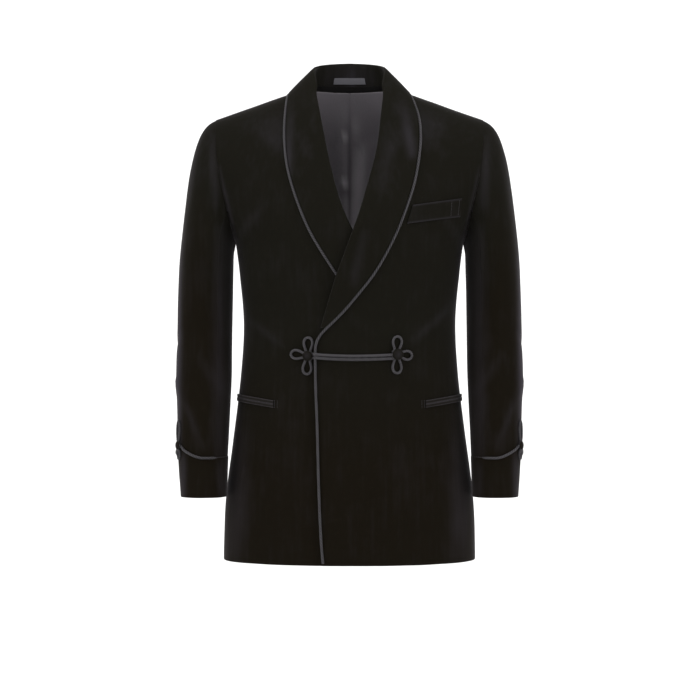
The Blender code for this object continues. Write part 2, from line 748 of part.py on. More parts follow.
def add_cuff_trim(side, name, cord, velvet):
    """The cord round the cuff's top edge and, on the outer side, its frog of two loops and a knot."""
    mirror = np.array([side, 1, 1])
    laid = [sleeve_surface(k * 12, cuff_line(k * 12), CORD_LIFT) for k in range(30)]
    path, normals = [p * mirror for p, n in laid], [n * mirror for p, n in laid]
    add_cord("cuff_cord_" + name, path, normals, CORD_RADIUS, cord, True)
    per_degree = math.radians(CUFF_SIDE_RADIUS)
    for loop in columns(CUFF_LOOPS):
        reach = (loop["high"] - loop["low"]) / 2
        centre = (loop["high"] + loop["low"]) / 2
        laid = []
        for k in range(12):
            bend = 2 * math.pi * k / 12
            width = loop["half_width"] * math.cos(bend)
            turn = CUFF_FROG_TURN + width / per_degree
            laid.append(sleeve_surface(turn, centre + reach * math.sin(bend), loop["above"]))
        path, normals = [p * mirror for p, n in laid], [n * mirror for p, n in laid]
        title = f"cuff_loop_{loop['name']}_{name}"
        add_cord(title, path, normals, CUFF_LOOP_RADIUS, cord, True)
    above = CORD_LIFT + CORD_RADIUS + CUFF_KNOT_HALF_HEIGHT - KNOT_SEAT
    point, normal = sleeve_surface(CUFF_FROG_TURN, CUFF_KNOT_HEIGHT, above)
    knot = "cuff_knot_" + name
    add_button(
        knot, point * mirror, normal * mirror, CUFF_KNOT_RADIUS, CUFF_KNOT_HALF_HEIGHT, velvet
    )


# The shawl collar

neck = {column: Curve(COLLAR_NECK, column) for column in COLLAR_NECK[0].split()[1:]}
edge_drop = Curve(LAPEL_SECTIONS, "edge_drop")
FALL_SHARES = (0.2, 0.42, 0.68, 1.0)
SHOULDER_STATION = 4
LAST_NECK_STATION = 6
NECK_STATIONS = [k / 2 for k in range(2 * LAST_NECK_STATION + 1)]
ROLL_REACH = 3.3
ROLL_DROP = 2.7


def neck_station(side, station):
    """Stand bottom, roll and cord line of the collar where it goes round the neck."""
    seam = np.array([neck["seam_x"](station), neck["seam_y"](station), neck["seam_z"](station)])
    roll = np.array([neck["roll_x"](station), neck["roll_y"](station), neck["roll_z"](station)])
    x = neck["left_edge" if side > 0 else "right_edge"](station)
    z = neck["edge_z"](station)
    if abs(station - SHOULDER_STATION) < 0.01:
        base = np.array([x, 0.0, shoulder_height(x)])
        normal = np.array([math.sin(SHOULDER_NORMAL_LEAN), 0, math.cos(SHOULDER_NORMAL_LEAN)])
    elif station < SHOULDER_STATION:
        base, normal = on_surface(back, x, z)
    else:
        base, normal = on_surface(right_front, x, z)
    return seam, roll, base, normal


def stand_top(roll, outward):
    return roll - outward * ROLL_REACH - np.array([0, 0, ROLL_DROP])


def clear_of_body(point, margin):
    """The point, moved out where it lies closer to the body's faces than the margin."""
    x, y, z = point
    if z < shoulder_height(x) + (NECK_RISE if x < NECK_HALF_WIDTH and y > 0 else 0):
        if y < 0:
            y = min(y, right_front(x, z) - margin)
        else:
            y = max(y, back(x, z) + margin)
    return np.array([x, y, z])


def neck_profile(side, station):
    """Visible face of the collar across one station: up the stand, over the roll, down the fall."""
    seam, roll, base, normal = neck_station(side, station)
    outward = base - roll
    outward[2] = 0
    outward = unit(outward)
    top = stand_top(roll, outward)
    profile = [mix(seam, top, share) for share in (0, 0.4, 0.8)]
    over = roll + outward * ROLL_REACH - np.array([0, 0, ROLL_DROP])
    profile += [top, roll, over]
    toward = unit(roll - base)
    end = base + toward * (CORD_RADIUS + CORD_TO_CLOTH) + normal * LAPEL_HEIGHT
    bulge = np.array([outward[0], outward[1], 0.35])
    for share in FALL_SHARES:
        point = mix(over, end, share) + bulge * 4.0 * share * (1 - share)
        profile.append(clear_of_body(point, LAPEL_HEIGHT + LYING_GAP))
    return profile


def lapel_profile(side, height):
    """Visible face of the lapel across one row: round the roll's edge, then over the panel."""
    surface = FRONT[side]
    low = height - edge_drop(height)
    start = np.array([roll_across[side](height), height])
    end = np.array([cord_across[side](low) - CORD_RADIUS - CORD_TO_CLOTH, low])
    length = np.linalg.norm(end - start)
    outward = (end - start) / length
    hook = columns(LAPEL_HOOK)
    places = [(point["along"], point["above"]) for point in hook]
    lead = hook[-1]["along"]
    places += [(mix(lead, length, share), LAPEL_HEIGHT) for share in FALL_SHARES]
    profile = []
    for along, above in places:
        x, z = start + outward * along
        profile.append(on_surface(surface, side * x, z, above)[0])
    return profile


def collar_grid(side):
    rows = [[point * np.array([side, 1, 1]) for point in neck_profile(side, s)] for s in NECK_STATIONS]
    rows += [lapel_profile(side, max(height, LAPEL_END[side])) for height in LAPEL_ROWS]
    return np.array(rows)


def add_collar(side, name, velvet):
    grid = collar_grid(side)
    normals = grid_normals(grid, (0, 0, 0))
    if normals[-4, -2] @ np.array([0, -1, 0]) < 0:
        normals *= -1
    normals[0, :, 0] = 0
    normals /= np.linalg.norm(normals, axis=2, keepdims=True)
    add_wall("collar_" + name, grid, normals, FACED_CLOTH, velvet)


def stand_point(across, height, above):
    """A point on the stand's inner face, by its place round the neck and height above the seam."""
    side = 1 if across >= 0 else -1
    seam, roll, base, _ = neck_station(1, abs(across))
    outward = base - roll
    outward[2] = 0
    top = stand_top(roll, unit(outward))
    up = unit(top - seam)
    ahead = neck_station(1, abs(across) + 0.1)[0] - neck_station(1, max(abs(across) - 0.1, 0))[0]
    inward = unit(np.cross(ahead, up))
    if inward[1] > 0:
        inward = -inward
    if abs(across) < 0.05:
        inward[0] = 0
    point = seam + up * height + inward * above
    return point * np.array([side, 1, 1]), inward * np.array([side, 1, 1])


def add_stand_strip(name, stations, low, high, thickness, made_of):
    """A strip sewn on the stand's inner face: the neck band, or the label."""
    rows, normals = [], []
    for height in (low, high):
        laid = [stand_point(s, height, LYING_GAP + thickness) for s in stations]
        rows.append([p for p, n in laid])
        normals.append([n for p, n in laid])
    add_wall(name, np.array(rows), np.array(normals), thickness, made_of)


# Cords along the edges


def edge_path(side, last_height):
    """Middle line of the corded edge from centre back to the last height, and normals below it."""
    laid = []
    for station in NECK_STATIONS:
        _, _, base, normal = neck_station(side, station)
        laid.append(((base + normal * NECK_CORD_LIFT) * (side, 1, 1), normal * (side, 1, 1)))
    height = -40.0
    while height > last_height:
        laid.append(on_surface(FRONT[side], side * cord_across[side](height), height, CORD_LIFT))
        height -= 9 if -440 < height < -290 else 17
    laid.append(on_surface(FRONT[side], side * cord_across[side](last_height), last_height, CORD_LIFT))
    return [p for p, n in laid], [n for p, n in laid]


def add_edge_cord(side, name, last_height, cord):
    path, normals = edge_path(side, last_height)
    add_cord("edge_cord_" + name, path, normals, CORD_RADIUS, cord)


# Frog fastening


def trefoil(loops, toward_bar):
    """A cord's flat path, seen from the front: out from the bar, round three loops and back to it."""
    path = []

    def corner(turn):
        bend = math.radians(turn)
        path.append((5.9 * math.cos(bend), 5.9 * math.sin(bend)))

    turn_way = 1 if toward_bar == 0 else -1
    lead = 7.6 if toward_bar == 0 else -7.6
    path.append((lead, 2.9))
    for loop in columns(loops):
        bend = math.radians(loop["turn"])
        out = np.array([math.cos(bend), math.sin(bend)])
        aside = np.array([out[1], -out[0]]) * turn_way
        corner(loop["turn"] - 45 * turn_way)
        shape = [(p["out"] * loop["length"], p["aside"]) for p in columns(LOOP)]
        shape += [(far, -wide) for far, wide in reversed(shape[:-1])]
        path += [tuple(out * far + aside * wide) for far, wide in shape]
    corner(loops[1][-1][0] + 45 * turn_way)
    path.append((lead, -2.9))
    return path


def add_frog(side, name, middle, loops, radius, cord, velvet):
    surface = FRONT[side]
    flat = trefoil(loops, 0 if side < 0 else 180)
    laid = [on_surface(surface, middle[0] + a, middle[1] + b, FROG_LIFT) for a, b in flat]
    add_cord("frog_" + name, [p for p, n in laid], [n for p, n in laid], FROG_RADIUS, cord)
    above = FROG_LIFT + FROG_RADIUS + BUTTON_HALF_HEIGHT - BUTTON_SEAT
    point, normal = on_surface(surface, *middle, above)
    add_button("frog_button_" + name, point, normal, radius, BUTTON_HALF_HEIGHT, velvet)


def add_bar(cord):
    """The double cord that holds the fronts: it rises over the left front's corded edge."""
    height_of = Curve(BAR, "height")
    start, end = BAR[1][0][0], BAR[1][-1][0]
    places = [*np.linspace(start, -40, 8), *np.linspace(-30, end, 8)]
    over_edge = 2 * CORD_LIFT + BAR_RADIUS
    for name, offset in (("upper", BAR_SPACING / 2), ("lower", -BAR_SPACING / 2)):
        laid = []
        for x in places:
            rise = math.exp(-(((x - BAR_OVER_EDGE) / 9) ** 2))
            above = mix(BAR_RADIUS + 0.3, over_edge, rise)
            laid.append(on_surface(left_front, x, height_of(x) + offset, above))
        add_cord("frog_bar_" + name, [p for p, n in laid], [n for p, n in laid], BAR_RADIUS, cord)


# Pockets


def add_patch(name, surface, corner, columns_count, thickness, made_of):
    """A flat strip on a panel: corner(u, v) gives x and z of its outline, and the panel gives y."""
    grid, normals = [], []
    for v in (0, 1):
        places = [corner(u / (columns_count - 1), v) for u in range(columns_count)]
        laid = [on_surface(surface, x, z, LYING_GAP + thickness) for x, z in places]
        grid.append([p for p, n in laid])
        normals.append([n for p, n in laid])
    add_wall(name, np.array(grid), np.array(normals), thickness, made_of)


def add_breast_welt(velvet):
    top = [Curve(WELT, "top_x"), Curve(WELT, "top_z")]
    bottom = [Curve(WELT, "bottom_x"), Curve(WELT, "bottom_z")]

    def corner(u, v):
        return tuple(mix(low(u), high(u), v) for low, high in zip(bottom, top))

    add_patch("breast_pocket_welt", left_front, corner, 9, 1.8, velvet)


def add_hip_pocket(side, name, velvet):
    """Two narrow jets, one above and one below the pocket's mouth, up to the side seam."""
    x_from, z_from = POCKET_FRONT
    full = half_width(POCKET_SIDE_HEIGHT)
    places = spread(x_from, full * 0.9985, full, front_depth(POCKET_SIDE_HEIGHT), JET_COLUMNS)
    for part, low in (("upper", 0.3), ("lower", -0.3 - JET_DEPTH)):

        def corner(u, v, low=low):
            x = places[round(u * (JET_COLUMNS - 1))]
            level = mix(z_from, POCKET_SIDE_HEIGHT, (x - x_from) / (full - x_from))
            return side * x, level + low + JET_DEPTH * v

        add_patch(f"hip_jet_{part}_{name}", FRONT[side], corner, JET_COLUMNS, JET_PROUD, velvet)


def build():
    for left_over in list(bpy.data.objects):
        bpy.data.objects.remove(left_over, do_unlink=True)
    velvet = material("black_velvet", "#1c1a1a", 0.9)
    satin = material("grey_satin_lining", "#434145", 0.42)
    cord = material("charcoal_cord", "#3b393b", 0.7)
    tape = material("grey_label", "#5c5c60", 0.6)
    for side, name in ((-1, "right"), (1, "left")):
        grid = front_grid(side)
        add_wall("front_" + name, grid, panel_normals(grid, side, -1), CLOTH, velvet)
        grid = back_grid(side)
        normals = panel_normals(grid, side, 1)
        add_wall("back_" + name, grid, normals, CLOTH, velvet)
        add_back_lining(grid, normals, name, satin)
        add_sleeve(side, name, velvet)
        add_cuff(side, name, velvet)
        add_cuff_trim(side, name, cord, velvet)
        add_collar(side, name, velvet)
        add_hip_pocket(side, name, velvet)
    add_edge_cord(-1, "right", CORD_END[-1], cord)
    add_edge_cord(1, "left", CORD_END[1], cord)
    add_frog(-1, "right", RIGHT_BUTTON, RIGHT_LOOPS, RIGHT_BUTTON_RADIUS, cord, velvet)
    add_frog(1, "left", LEFT_BUTTON, LEFT_LOOPS, LEFT_BUTTON_RADIUS, cord, velvet)
    add_bar(cord)
    add_breast_welt(velvet)
    round_neck = np.linspace(-3.6, 3.6, 15)
    add_stand_strip("neck_band", round_neck, 0.4, 9.2, 0.8, satin)
    add_stand_strip("neck_label", np.linspace(-1.06, 1.06, 7), 13.5, 24, 0.6, tape)


build()
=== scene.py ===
import json
import math

import bmesh
import bpy
import numpy as np
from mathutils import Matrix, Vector

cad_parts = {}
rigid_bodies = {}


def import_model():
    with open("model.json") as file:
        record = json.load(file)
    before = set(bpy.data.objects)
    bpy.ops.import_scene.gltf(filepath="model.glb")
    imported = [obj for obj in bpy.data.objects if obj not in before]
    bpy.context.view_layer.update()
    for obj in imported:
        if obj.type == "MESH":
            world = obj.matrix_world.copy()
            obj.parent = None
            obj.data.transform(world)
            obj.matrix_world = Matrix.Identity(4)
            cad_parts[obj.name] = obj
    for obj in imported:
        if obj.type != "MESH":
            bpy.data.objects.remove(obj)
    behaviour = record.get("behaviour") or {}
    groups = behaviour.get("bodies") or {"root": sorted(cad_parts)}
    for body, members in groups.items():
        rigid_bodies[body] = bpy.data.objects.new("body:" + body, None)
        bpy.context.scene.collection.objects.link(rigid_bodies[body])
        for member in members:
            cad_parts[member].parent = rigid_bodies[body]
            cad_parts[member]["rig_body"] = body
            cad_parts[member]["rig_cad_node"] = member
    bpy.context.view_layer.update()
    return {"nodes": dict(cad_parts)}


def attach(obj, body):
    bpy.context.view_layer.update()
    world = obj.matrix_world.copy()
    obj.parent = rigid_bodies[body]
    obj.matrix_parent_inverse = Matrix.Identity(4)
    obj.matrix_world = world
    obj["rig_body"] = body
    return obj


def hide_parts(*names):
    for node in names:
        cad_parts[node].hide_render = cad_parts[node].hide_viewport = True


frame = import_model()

MM = 0.001


# Studio
# A seamless pale sweep of paper stands well below and behind the jacket, under an even white light.
# Two tall soft boxes at the sides and one overhead give the pile its sheen where the cloth turns.

FLOOR_HEIGHT = -1.25
SWEEP_HALF_WIDTH = 6.0
SWEEP_FRONT = -7.0
SWEEP_BACK = 3.2
SWEEP_TOP = 5.0
SWEEP_RADIUS = 1.6
PAPER_WHITE = "#f7f7f7"
PAPER_CLOUD = "#f9f9f8"
PAPER_CLOUD_MM = 333.0
LIGHTS = (
    ("left_box", (-2.6, -1.6, 0.5), (1.2, 2.6), 40),
    ("right_box", (2.6, -1.6, 0.5), (1.2, 2.6), 40),
    ("top_box", (0.0, -0.6, 2.4), (2.4, 1.2), 40),
)
LIGHTS_AIM = (0, 0, -0.4)
CAMERA_PLACE = (0.0008, -3.6, -0.4275)
SENSOR_MM = 36
LENS_MM = 110.9


def linear(colour):
    """An sRGB hex colour as the linear values that a shader takes."""
    values = [int(colour[k : k + 2], 16) / 255 for k in (1, 3, 5)]
    return (*(v / 12.92 if v <= 0.04045 else ((v + 0.055) / 1.055) ** 2.4 for v in values), 1.0)


def add_node(tree, kind, settings=(), links=()):
    """Adds one node to a material, with its values set and its inputs linked."""
    node = tree.nodes.new(kind)
    for key, value in dict(settings).items():
        if isinstance(key, int) or key in node.inputs:
            node.inputs[key].default_value = value
        else:
            setattr(node, key, value)
    for key, source in dict(links).items():
        tree.links.new(source, node.inputs[key])
    return node


def new_material(title, colour, **values):
    """A material with its plain values on the shader's own sockets."""
    made = bpy.data.materials.new(title)
    made.use_nodes = True
    shader = made.node_tree.nodes["Principled BSDF"]
    shader.inputs["Base Color"].default_value = linear(colour)
    for key, value in values.items():
        shader.inputs[key.replace("_", " ")].default_value = value
    return made, made.node_tree, shader


def matt_paper():
    """Uncoated paper on a roll: matt white, with the faint cloudiness of its pulp."""
    made, tree, shader = new_material("matt_white_paper", PAPER_WHITE, Roughness=0.95)
    place = add_node(tree, "ShaderNodeTexCoord").outputs["Object"]
    pulp = add_node(tree, "ShaderNodeTexNoise", {"Scale": 1 / (PAPER_CLOUD_MM * MM)}, {"Vector": place})
    colour = add_node(
        tree, "ShaderNodeMix", {"data_type": "RGBA", 6: linear(PAPER_WHITE), 7: linear(PAPER_CLOUD)},
        {0: pulp.outputs["Fac"]},
    )
    tree.links.new(colour.outputs[2], shader.inputs["Base Color"])
    return made


bpy.ops.object.select_all(action="DESELECT")
bpy.ops.mesh.primitive_plane_add(size=1, location=(0, 0, FLOOR_HEIGHT))
sweep = bpy.context.object
sweep.name = "paper_sweep"
bpy.ops.object.mode_set(mode="EDIT")
bpy.ops.mesh.select_all(action="SELECT")
bpy.ops.transform.resize(value=(2 * SWEEP_HALF_WIDTH, SWEEP_BACK - SWEEP_FRONT, 1))
bpy.ops.transform.translate(value=(0, (SWEEP_BACK + SWEEP_FRONT) / 2, 0))
bpy.ops.mesh.select_mode(type="EDGE")
bpy.ops.mesh.select_all(action="DESELECT")
bpy.ops.object.mode_set(mode="OBJECT")
for edge in sweep.data.edges:
    edge.select = all(sweep.data.vertices[v].co.y > 0 for v in edge.vertices)
bpy.ops.object.mode_set(mode="EDIT")
bpy.ops.mesh.extrude_region_move(TRANSFORM_OT_translate={"value": (0, 0, SWEEP_TOP)})
bpy.ops.mesh.select_all(action="DESELECT")
bpy.ops.mesh.edges_select_sharp(sharpness=math.radians(60))
bpy.ops.mesh.bevel(offset=SWEEP_RADIUS, segments=24)
bpy.ops.object.mode_set(mode="OBJECT")
bpy.ops.object.transform_apply(location=True, rotation=True, scale=True)
bpy.ops.object.shade_smooth()
sweep.data.materials.append(matt_paper())

world = bpy.data.worlds.new("even_white")
bpy.context.scene.world = world
world.use_nodes = True
world.node_tree.nodes["Background"].inputs["Color"].default_value = (1, 1, 1, 1)
world.node_tree.nodes["Background"].inputs["Strength"].default_value = 1.0
bpy.context.scene.view_settings.view_transform = "Standard"

for title, place, (wide, tall), watts in LIGHTS:
    lamp = bpy.data.lights.new(title, "AREA")
    lamp.shape = "RECTANGLE"
    lamp.size, lamp.size_y, lamp.energy = wide, tall, watts
    holder = bpy.data.objects.new(title, lamp)
    bpy.context.scene.collection.objects.link(holder)
    holder.location = place
    holder.rotation_euler = (Vector(LIGHTS_AIM) - Vector(place)).to_track_quat("-Z", "Y").to_euler()

camera = bpy.data.objects.new("camera", bpy.data.cameras.new("camera"))
bpy.context.scene.collection.objects.link(camera)
camera.location = CAMERA_PLACE
camera.rotation_euler = (math.radians(90), 0, 0)
camera.data.sensor_width = SENSOR_MM
camera.data.lens = LENS_MM
bpy.context.scene.camera = camera


# Backs and fronts
# Four panels of black cotton velvet make the body: two fronts, each cut in one with its side, and
# two backs with a centre seam. They meet at the side and shoulder seams, pressed open inside.

VELVET_DEEP = "#110e09"
# painted top light: the greyer brown-black the velvet takes higher up, where light from above falls on the
# pile
VELVET_PAINTED_TOP_LIGHT = "#12110d"
# the grey of the painted highlight, which the random patches also take the velvet a little towards
VELVET_HIGHLIGHT_AND_PATCH_GREY = "#3b383f"
# how high on the body the brown-black turns to the greyer painted top light, in metres, and how much higher
# that is on a sleeve
TOP_LIGHT_FROM = -0.62
TOP_LIGHT_FULL = -0.40
TOP_LIGHT_RISE_ON_SLEEVE = 0.27
SLEEVE_FROM = 0.17
SLEEVE_FULL = 0.24
# real tufts are about 0.3 mm apart, and are drawn coarser so that they show
PILE_MM = 1.5
NAP_PATCH_MM = 45.0
STREAK_MM = 7.0
STREAK_LONG_MM = 111.0

SATIN_GREY = "#5a565b"
SATIN_SLUB = ("#565256", "#625e63")
SATIN_LIT = "#a39ea3"
SATIN_SHADED = "#141214"
# a real thread is about 0.1 mm wide, and is drawn coarser so that it shows
SLUB_MM = 1.43
SLUB_LONG_MM = 16.7

MERGE_MM = 0.02
FOLD_ANGLE = math.radians(55)
EDGE_ANGLE = math.radians(50)
EDGE_ROUND_MM = 0.8
# the pile stands this far off the cut cloth, and so closes the seams
PILE_PROUD_MM = 0.2
DRAPE_MM = 1.2
DRAPE_PATCH_MM = 90
# the height of the chest, above which cloth faces away from one point in the body
CHEST_HEIGHT = -0.25
# where along its own length a crease rises and dies away, and how squarely it has to be seen
CREASE_RISES = (-0.35, 0.3)
CREASE_DIES = (0.7, 1.35)
CREASE_SQUARE = (0.05, 0.6)
SEEN_FROM = {"front": (0, -1, 0), "back": (0, 1, 0), "left": (1, 0, 0), "right": (-1, 0, 0)}
# a face that looks inwards by more than this belongs to the lining
LINING_FACING = -0.25


def cotton_velvet(title, highlight_and_patch_colour):
    """Cut-pile cotton velvet: brown-black head on, with its real sheen where it turns away, greyer higher up
    as painted top light, and grey with painted highlight along creases and edges.
    """
    made, tree, shader = new_material(
        title, VELVET_DEEP, Roughness=0.95, Specular_IOR_Level=0.02,
        Sheen_Weight=0.25, Sheen_Roughness=0.32, Sheen_Tint=linear("#a6a1a6"),
    )
    place = add_node(tree, "ShaderNodeTexCoord").outputs["Object"]
    spot = add_node(tree, "ShaderNodeSeparateXYZ", {}, {0: place})
    aside = add_node(tree, "ShaderNodeMath", {"operation": "ABSOLUTE"}, {0: spot.outputs["X"]})
    # painted top light: the velvet greys higher up the body, and higher still on a sleeve
    on_sleeve = add_node(
        tree, "ShaderNodeMapRange",
        {"From Min": SLEEVE_FROM, "From Max": SLEEVE_FULL, "To Max": TOP_LIGHT_RISE_ON_SLEEVE},
        {"Value": aside.outputs[0]},
    )
    height = add_node(
        tree, "ShaderNodeMath", {"operation": "SUBTRACT"}, {0: spot.outputs["Z"], 1: on_sleeve.outputs[0]}
    )
    upper = add_node(
        tree, "ShaderNodeMapRange", {"From Min": TOP_LIGHT_FROM, "From Max": TOP_LIGHT_FULL},
        {"Value": height.outputs[0]},
    )
    ground = add_node(
        tree, "ShaderNodeMix", {"data_type": "RGBA", 6: linear(VELVET_DEEP), 7: linear(VELVET_PAINTED_TOP_LIGHT)},
        {0: upper.outputs[0]},
    )
    patches = add_node(
        tree, "ShaderNodeTexNoise", {"Scale": 1 / (NAP_PATCH_MM * MM), "Detail": 3.0, "Roughness": 0.55},
        {"Vector": place},
    )
    across, lengthways = 1 / (STREAK_MM * MM), 1 / (STREAK_LONG_MM * MM)
    stretched = add_node(
        tree, "ShaderNodeMapping", {"Scale": (across, across, lengthways)}, {"Vector": place}
    )
    streaks = add_node(
        tree, "ShaderNodeTexNoise", {"Scale": 1.0, "Detail": 2.0}, {"Vector": stretched.outputs[0]}
    )
    # painted highlight, kept at each point, along creases and edges
    painted_highlight = add_node(tree, "ShaderNodeAttribute", {"attribute_name": "painted_light"})
    uneven = add_node(
        tree, "ShaderNodeMath", {"operation": "MULTIPLY"},
        {0: patches.outputs["Fac"], 1: streaks.outputs["Fac"]},
    )
    uneven = add_node(
        tree, "ShaderNodeMapRange", {"From Min": 0.14, "From Max": 0.40, "To Min": -0.025, "To Max": 0.03},
        {"Value": uneven.outputs[0]},
    )
    highlight_and_patches = add_node(
        tree, "ShaderNodeMath", {"operation": "ADD", "use_clamp": True},
        {0: painted_highlight.outputs["Fac"], 1: uneven.outputs[0]},
    )
    colour = add_node(
        tree, "ShaderNodeMix", {"data_type": "RGBA", 7: linear(highlight_and_patch_colour)},
        {0: highlight_and_patches.outputs[0], 6: ground.outputs[2]},
    )
    pile = add_node(
        tree, "ShaderNodeTexNoise", {"Scale": 1 / (PILE_MM * MM), "Detail": 2.0}, {"Vector": place}
    )
    lifted = add_node(
        tree, "ShaderNodeBump", {"Strength": 0.35, "Distance": 0.6 * MM}, {"Height": pile.outputs["Fac"]}
    )
    tree.links.new(colour.outputs[2], shader.inputs["Base Color"])
    tree.links.new(lifted.outputs["Normal"], shader.inputs["Normal"])
    return made


def satin_weave():
    """Grey rayon satin: long floats give it a soft gloss, broken by fine slubs along the thread.
    Its painted light is painted highlight where a fold turns the floats to the light, and below zero painted
    shade where it turns them away."""
    made, tree, shader = new_material(
        "grey_satin", SATIN_GREY, Roughness=0.42, Specular_IOR_Level=0.3,
        Sheen_Weight=0.1, Sheen_Roughness=0.4, Sheen_Tint=linear("#b8b4b8"),
    )
    place = add_node(tree, "ShaderNodeTexCoord").outputs["Object"]
    across, lengthways = 1 / (SLUB_MM * MM), 1 / (SLUB_LONG_MM * MM)
    stretched = add_node(
        tree, "ShaderNodeMapping", {"Scale": (across, across, lengthways)}, {"Vector": place}
    )
    slub = add_node(
        tree, "ShaderNodeTexNoise", {"Scale": 1.0, "Detail": 2.0}, {"Vector": stretched.outputs[0]}
    )
    colour = add_node(
        tree, "ShaderNodeMix", {"data_type": "RGBA", 6: linear(SATIN_SLUB[0]), 7: linear(SATIN_SLUB[1])},
        {0: slub.outputs["Fac"]},
    )
    turned = add_node(tree, "ShaderNodeAttribute", {"attribute_name": "painted_light"})
    colour = add_node(
        tree, "ShaderNodeMix", {"data_type": "RGBA", 7: linear(SATIN_LIT)},
        {0: turned.outputs["Fac"], 6: colour.outputs[2]},
    )
    shaded = add_node(
        tree, "ShaderNodeMath", {"operation": "MULTIPLY", "use_clamp": True, 1: -1.0},
        {0: turned.outputs["Fac"]},
    )
    colour = add_node(
        tree, "ShaderNodeMix", {"data_type": "RGBA", 7: linear(SATIN_SHADED)},
        {0: shaded.outputs[0], 6: colour.outputs[2]},
    )
    raised = add_node(
        tree, "ShaderNodeBump", {"Strength": 0.12, "Distance": 0.4 * MM}, {"Height": slub.outputs["Fac"]}
    )
    tree.links.new(colour.outputs[2], shader.inputs["Base Color"])
    tree.links.new(raised.outputs["Normal"], shader.inputs["Normal"])
    return made


def take_piece(node, title):
    """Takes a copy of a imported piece, with its triangles joined to quads and its cut edges marked."""
    bpy.ops.object.select_all(action="DESELECT")
    frame["nodes"][node].select_set(True)
    bpy.context.view_layer.objects.active = frame["nodes"][node]
    bpy.ops.object.duplicate()
    piece = bpy.context.view_layer.objects.active
    bpy.ops.object.parent_clear(type="CLEAR")
    del piece["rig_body"], piece["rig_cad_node"]
    piece.name = piece.data.name = title
    piece.data.materials.clear()
    bpy.ops.mesh.customdata_custom_splitnormals_clear()
    bpy.ops.object.mode_set(mode="EDIT")
    bpy.ops.mesh.select_mode(type="EDGE")
    bpy.ops.mesh.select_all(action="SELECT")
    bpy.ops.mesh.remove_doubles(threshold=MERGE_MM * MM)
    bpy.ops.mesh.mark_sharp(clear=True)
    bpy.ops.mesh.select_all(action="DESELECT")
    bpy.ops.mesh.edges_select_sharp(sharpness=FOLD_ANGLE)
    bpy.ops.mesh.mark_sharp()
    bpy.ops.transform.edge_crease(value=1)
    bpy.ops.mesh.select_all(action="SELECT")
    bpy.ops.mesh.tris_convert_to_quads(face_threshold=1.2, shape_threshold=1.2, sharp=True)
    bpy.ops.object.mode_set(mode="OBJECT")
    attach(piece, "root")
    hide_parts(node)
    return piece


def apply_modifier(piece, kind, **values):
    """Puts one modifier on a piece and applies it."""
    bpy.ops.object.select_all(action="DESELECT")
    piece.select_set(True)
    bpy.context.view_layer.objects.active = piece
    step = piece.modifiers.new(kind.lower(), kind)
    for key, value in values.items():
        setattr(step, key, value)
    bpy.ops.object.modifier_apply(modifier=step.name)


def subdivide(piece, levels):
    """Rounds a piece between its rows of points."""
    apply_modifier(piece, "SUBSURF", levels=levels, render_levels=levels)


def read_points(piece):
    """A piece's points, one a row."""
    points = np.zeros(len(piece.data.vertices) * 3)
    piece.data.vertices.foreach_get("co", points)
    return points.reshape(-1, 3)


def write_points(piece, points):
    """Moves a piece's points."""
    piece.data.vertices.foreach_set("co", points.ravel())
    piece.data.update()


def write_painted_light(piece, painted_light):
    """Keeps the painted light at each point, which the cloth greys by: painted highlight above zero and, on
    the satin, painted shade below it.
    """
    layer = piece.data.attributes.get("painted_light") or piece.data.attributes.new("painted_light", "FLOAT", "POINT")
    layer.data.foreach_set("value", painted_light.astype(np.float32))


def ramp(value, low, high):
    """A soft step from 0 at low to 1 at high."""
    share = np.clip((value - low) / (high - low), 0, 1)
    return share * share * (3 - 2 * share)


def body_axis(points):
    """The point inside the body that each of these points faces away from."""
    return np.column_stack([0 * points[:, 0], 0 * points[:, 1], np.minimum(points[:, 2], CHEST_HEIGHT)])


def press(piece, creases, axis):
    """Presses creases into a piece, on lines seen from one side: ridges above zero, troughs below.
    Each crease's shine goes into the painted light: painted highlight, and on the satin painted shade below
    zero."""
    points = read_points(piece)
    outward = points - axis(points)
    outward /= np.linalg.norm(outward, axis=1, keepdims=True)
    shift, painted_light = np.zeros(len(points)), np.zeros(len(points))
    for seen, from_a, from_z, to_a, to_z, reach, depth, shine in creases:
        facing = SEEN_FROM[seen]
        flat = points[:, [0, 2]] if facing[1] else points[:, [1, 2]]
        start, end = np.array([from_a, from_z]) * MM, np.array([to_a, to_z]) * MM
        along = end - start
        share = (flat - start) @ along / (along @ along)
        aside = np.linalg.norm(flat - start - np.clip(share, 0, 1)[:, None] * along, axis=1)
        fade = ramp(share, *CREASE_RISES) * (1 - ramp(share, *CREASE_DIES))
        near = ramp(outward @ np.array(facing), *CREASE_SQUARE)
        here = fade * near * np.exp(-((aside / (reach * MM)) ** 2))
        shift += depth * MM * here
        painted_light += shine * here
    write_points(piece, points + outward * shift[:, None])
    write_painted_light(piece, painted_light)


def soften(piece, amount_mm=DRAPE_MM, patch_mm=DRAPE_PATCH_MM):
    """Lets the cloth wander a little, as pressed cloth on the body never lies quite even."""
    texture = bpy.data.textures.get("drape") or bpy.data.textures.new("drape", "CLOUDS")
    texture.noise_scale = patch_mm * MM
    texture.noise_depth = 2
    apply_modifier(
        piece, "DISPLACE", texture=texture, texture_coords="LOCAL", strength=amount_mm * MM, mid_level=0.5
    )


def face_inside(piece, axis, lining):
    """Gives the faces that look inwards the lining, which is the second material."""
    piece.data.materials.append(lining)
    centres = np.array([f.center for f in piece.data.polygons])
    normals = np.array([f.normal for f in piece.data.polygons])
    outward = centres - axis(centres)
    facing = np.einsum("ij,ij->i", outward, normals) / np.linalg.norm(outward, axis=1)
    piece.data.polygons.foreach_set("material_index", (facing < LINING_FACING).astype(np.int32))


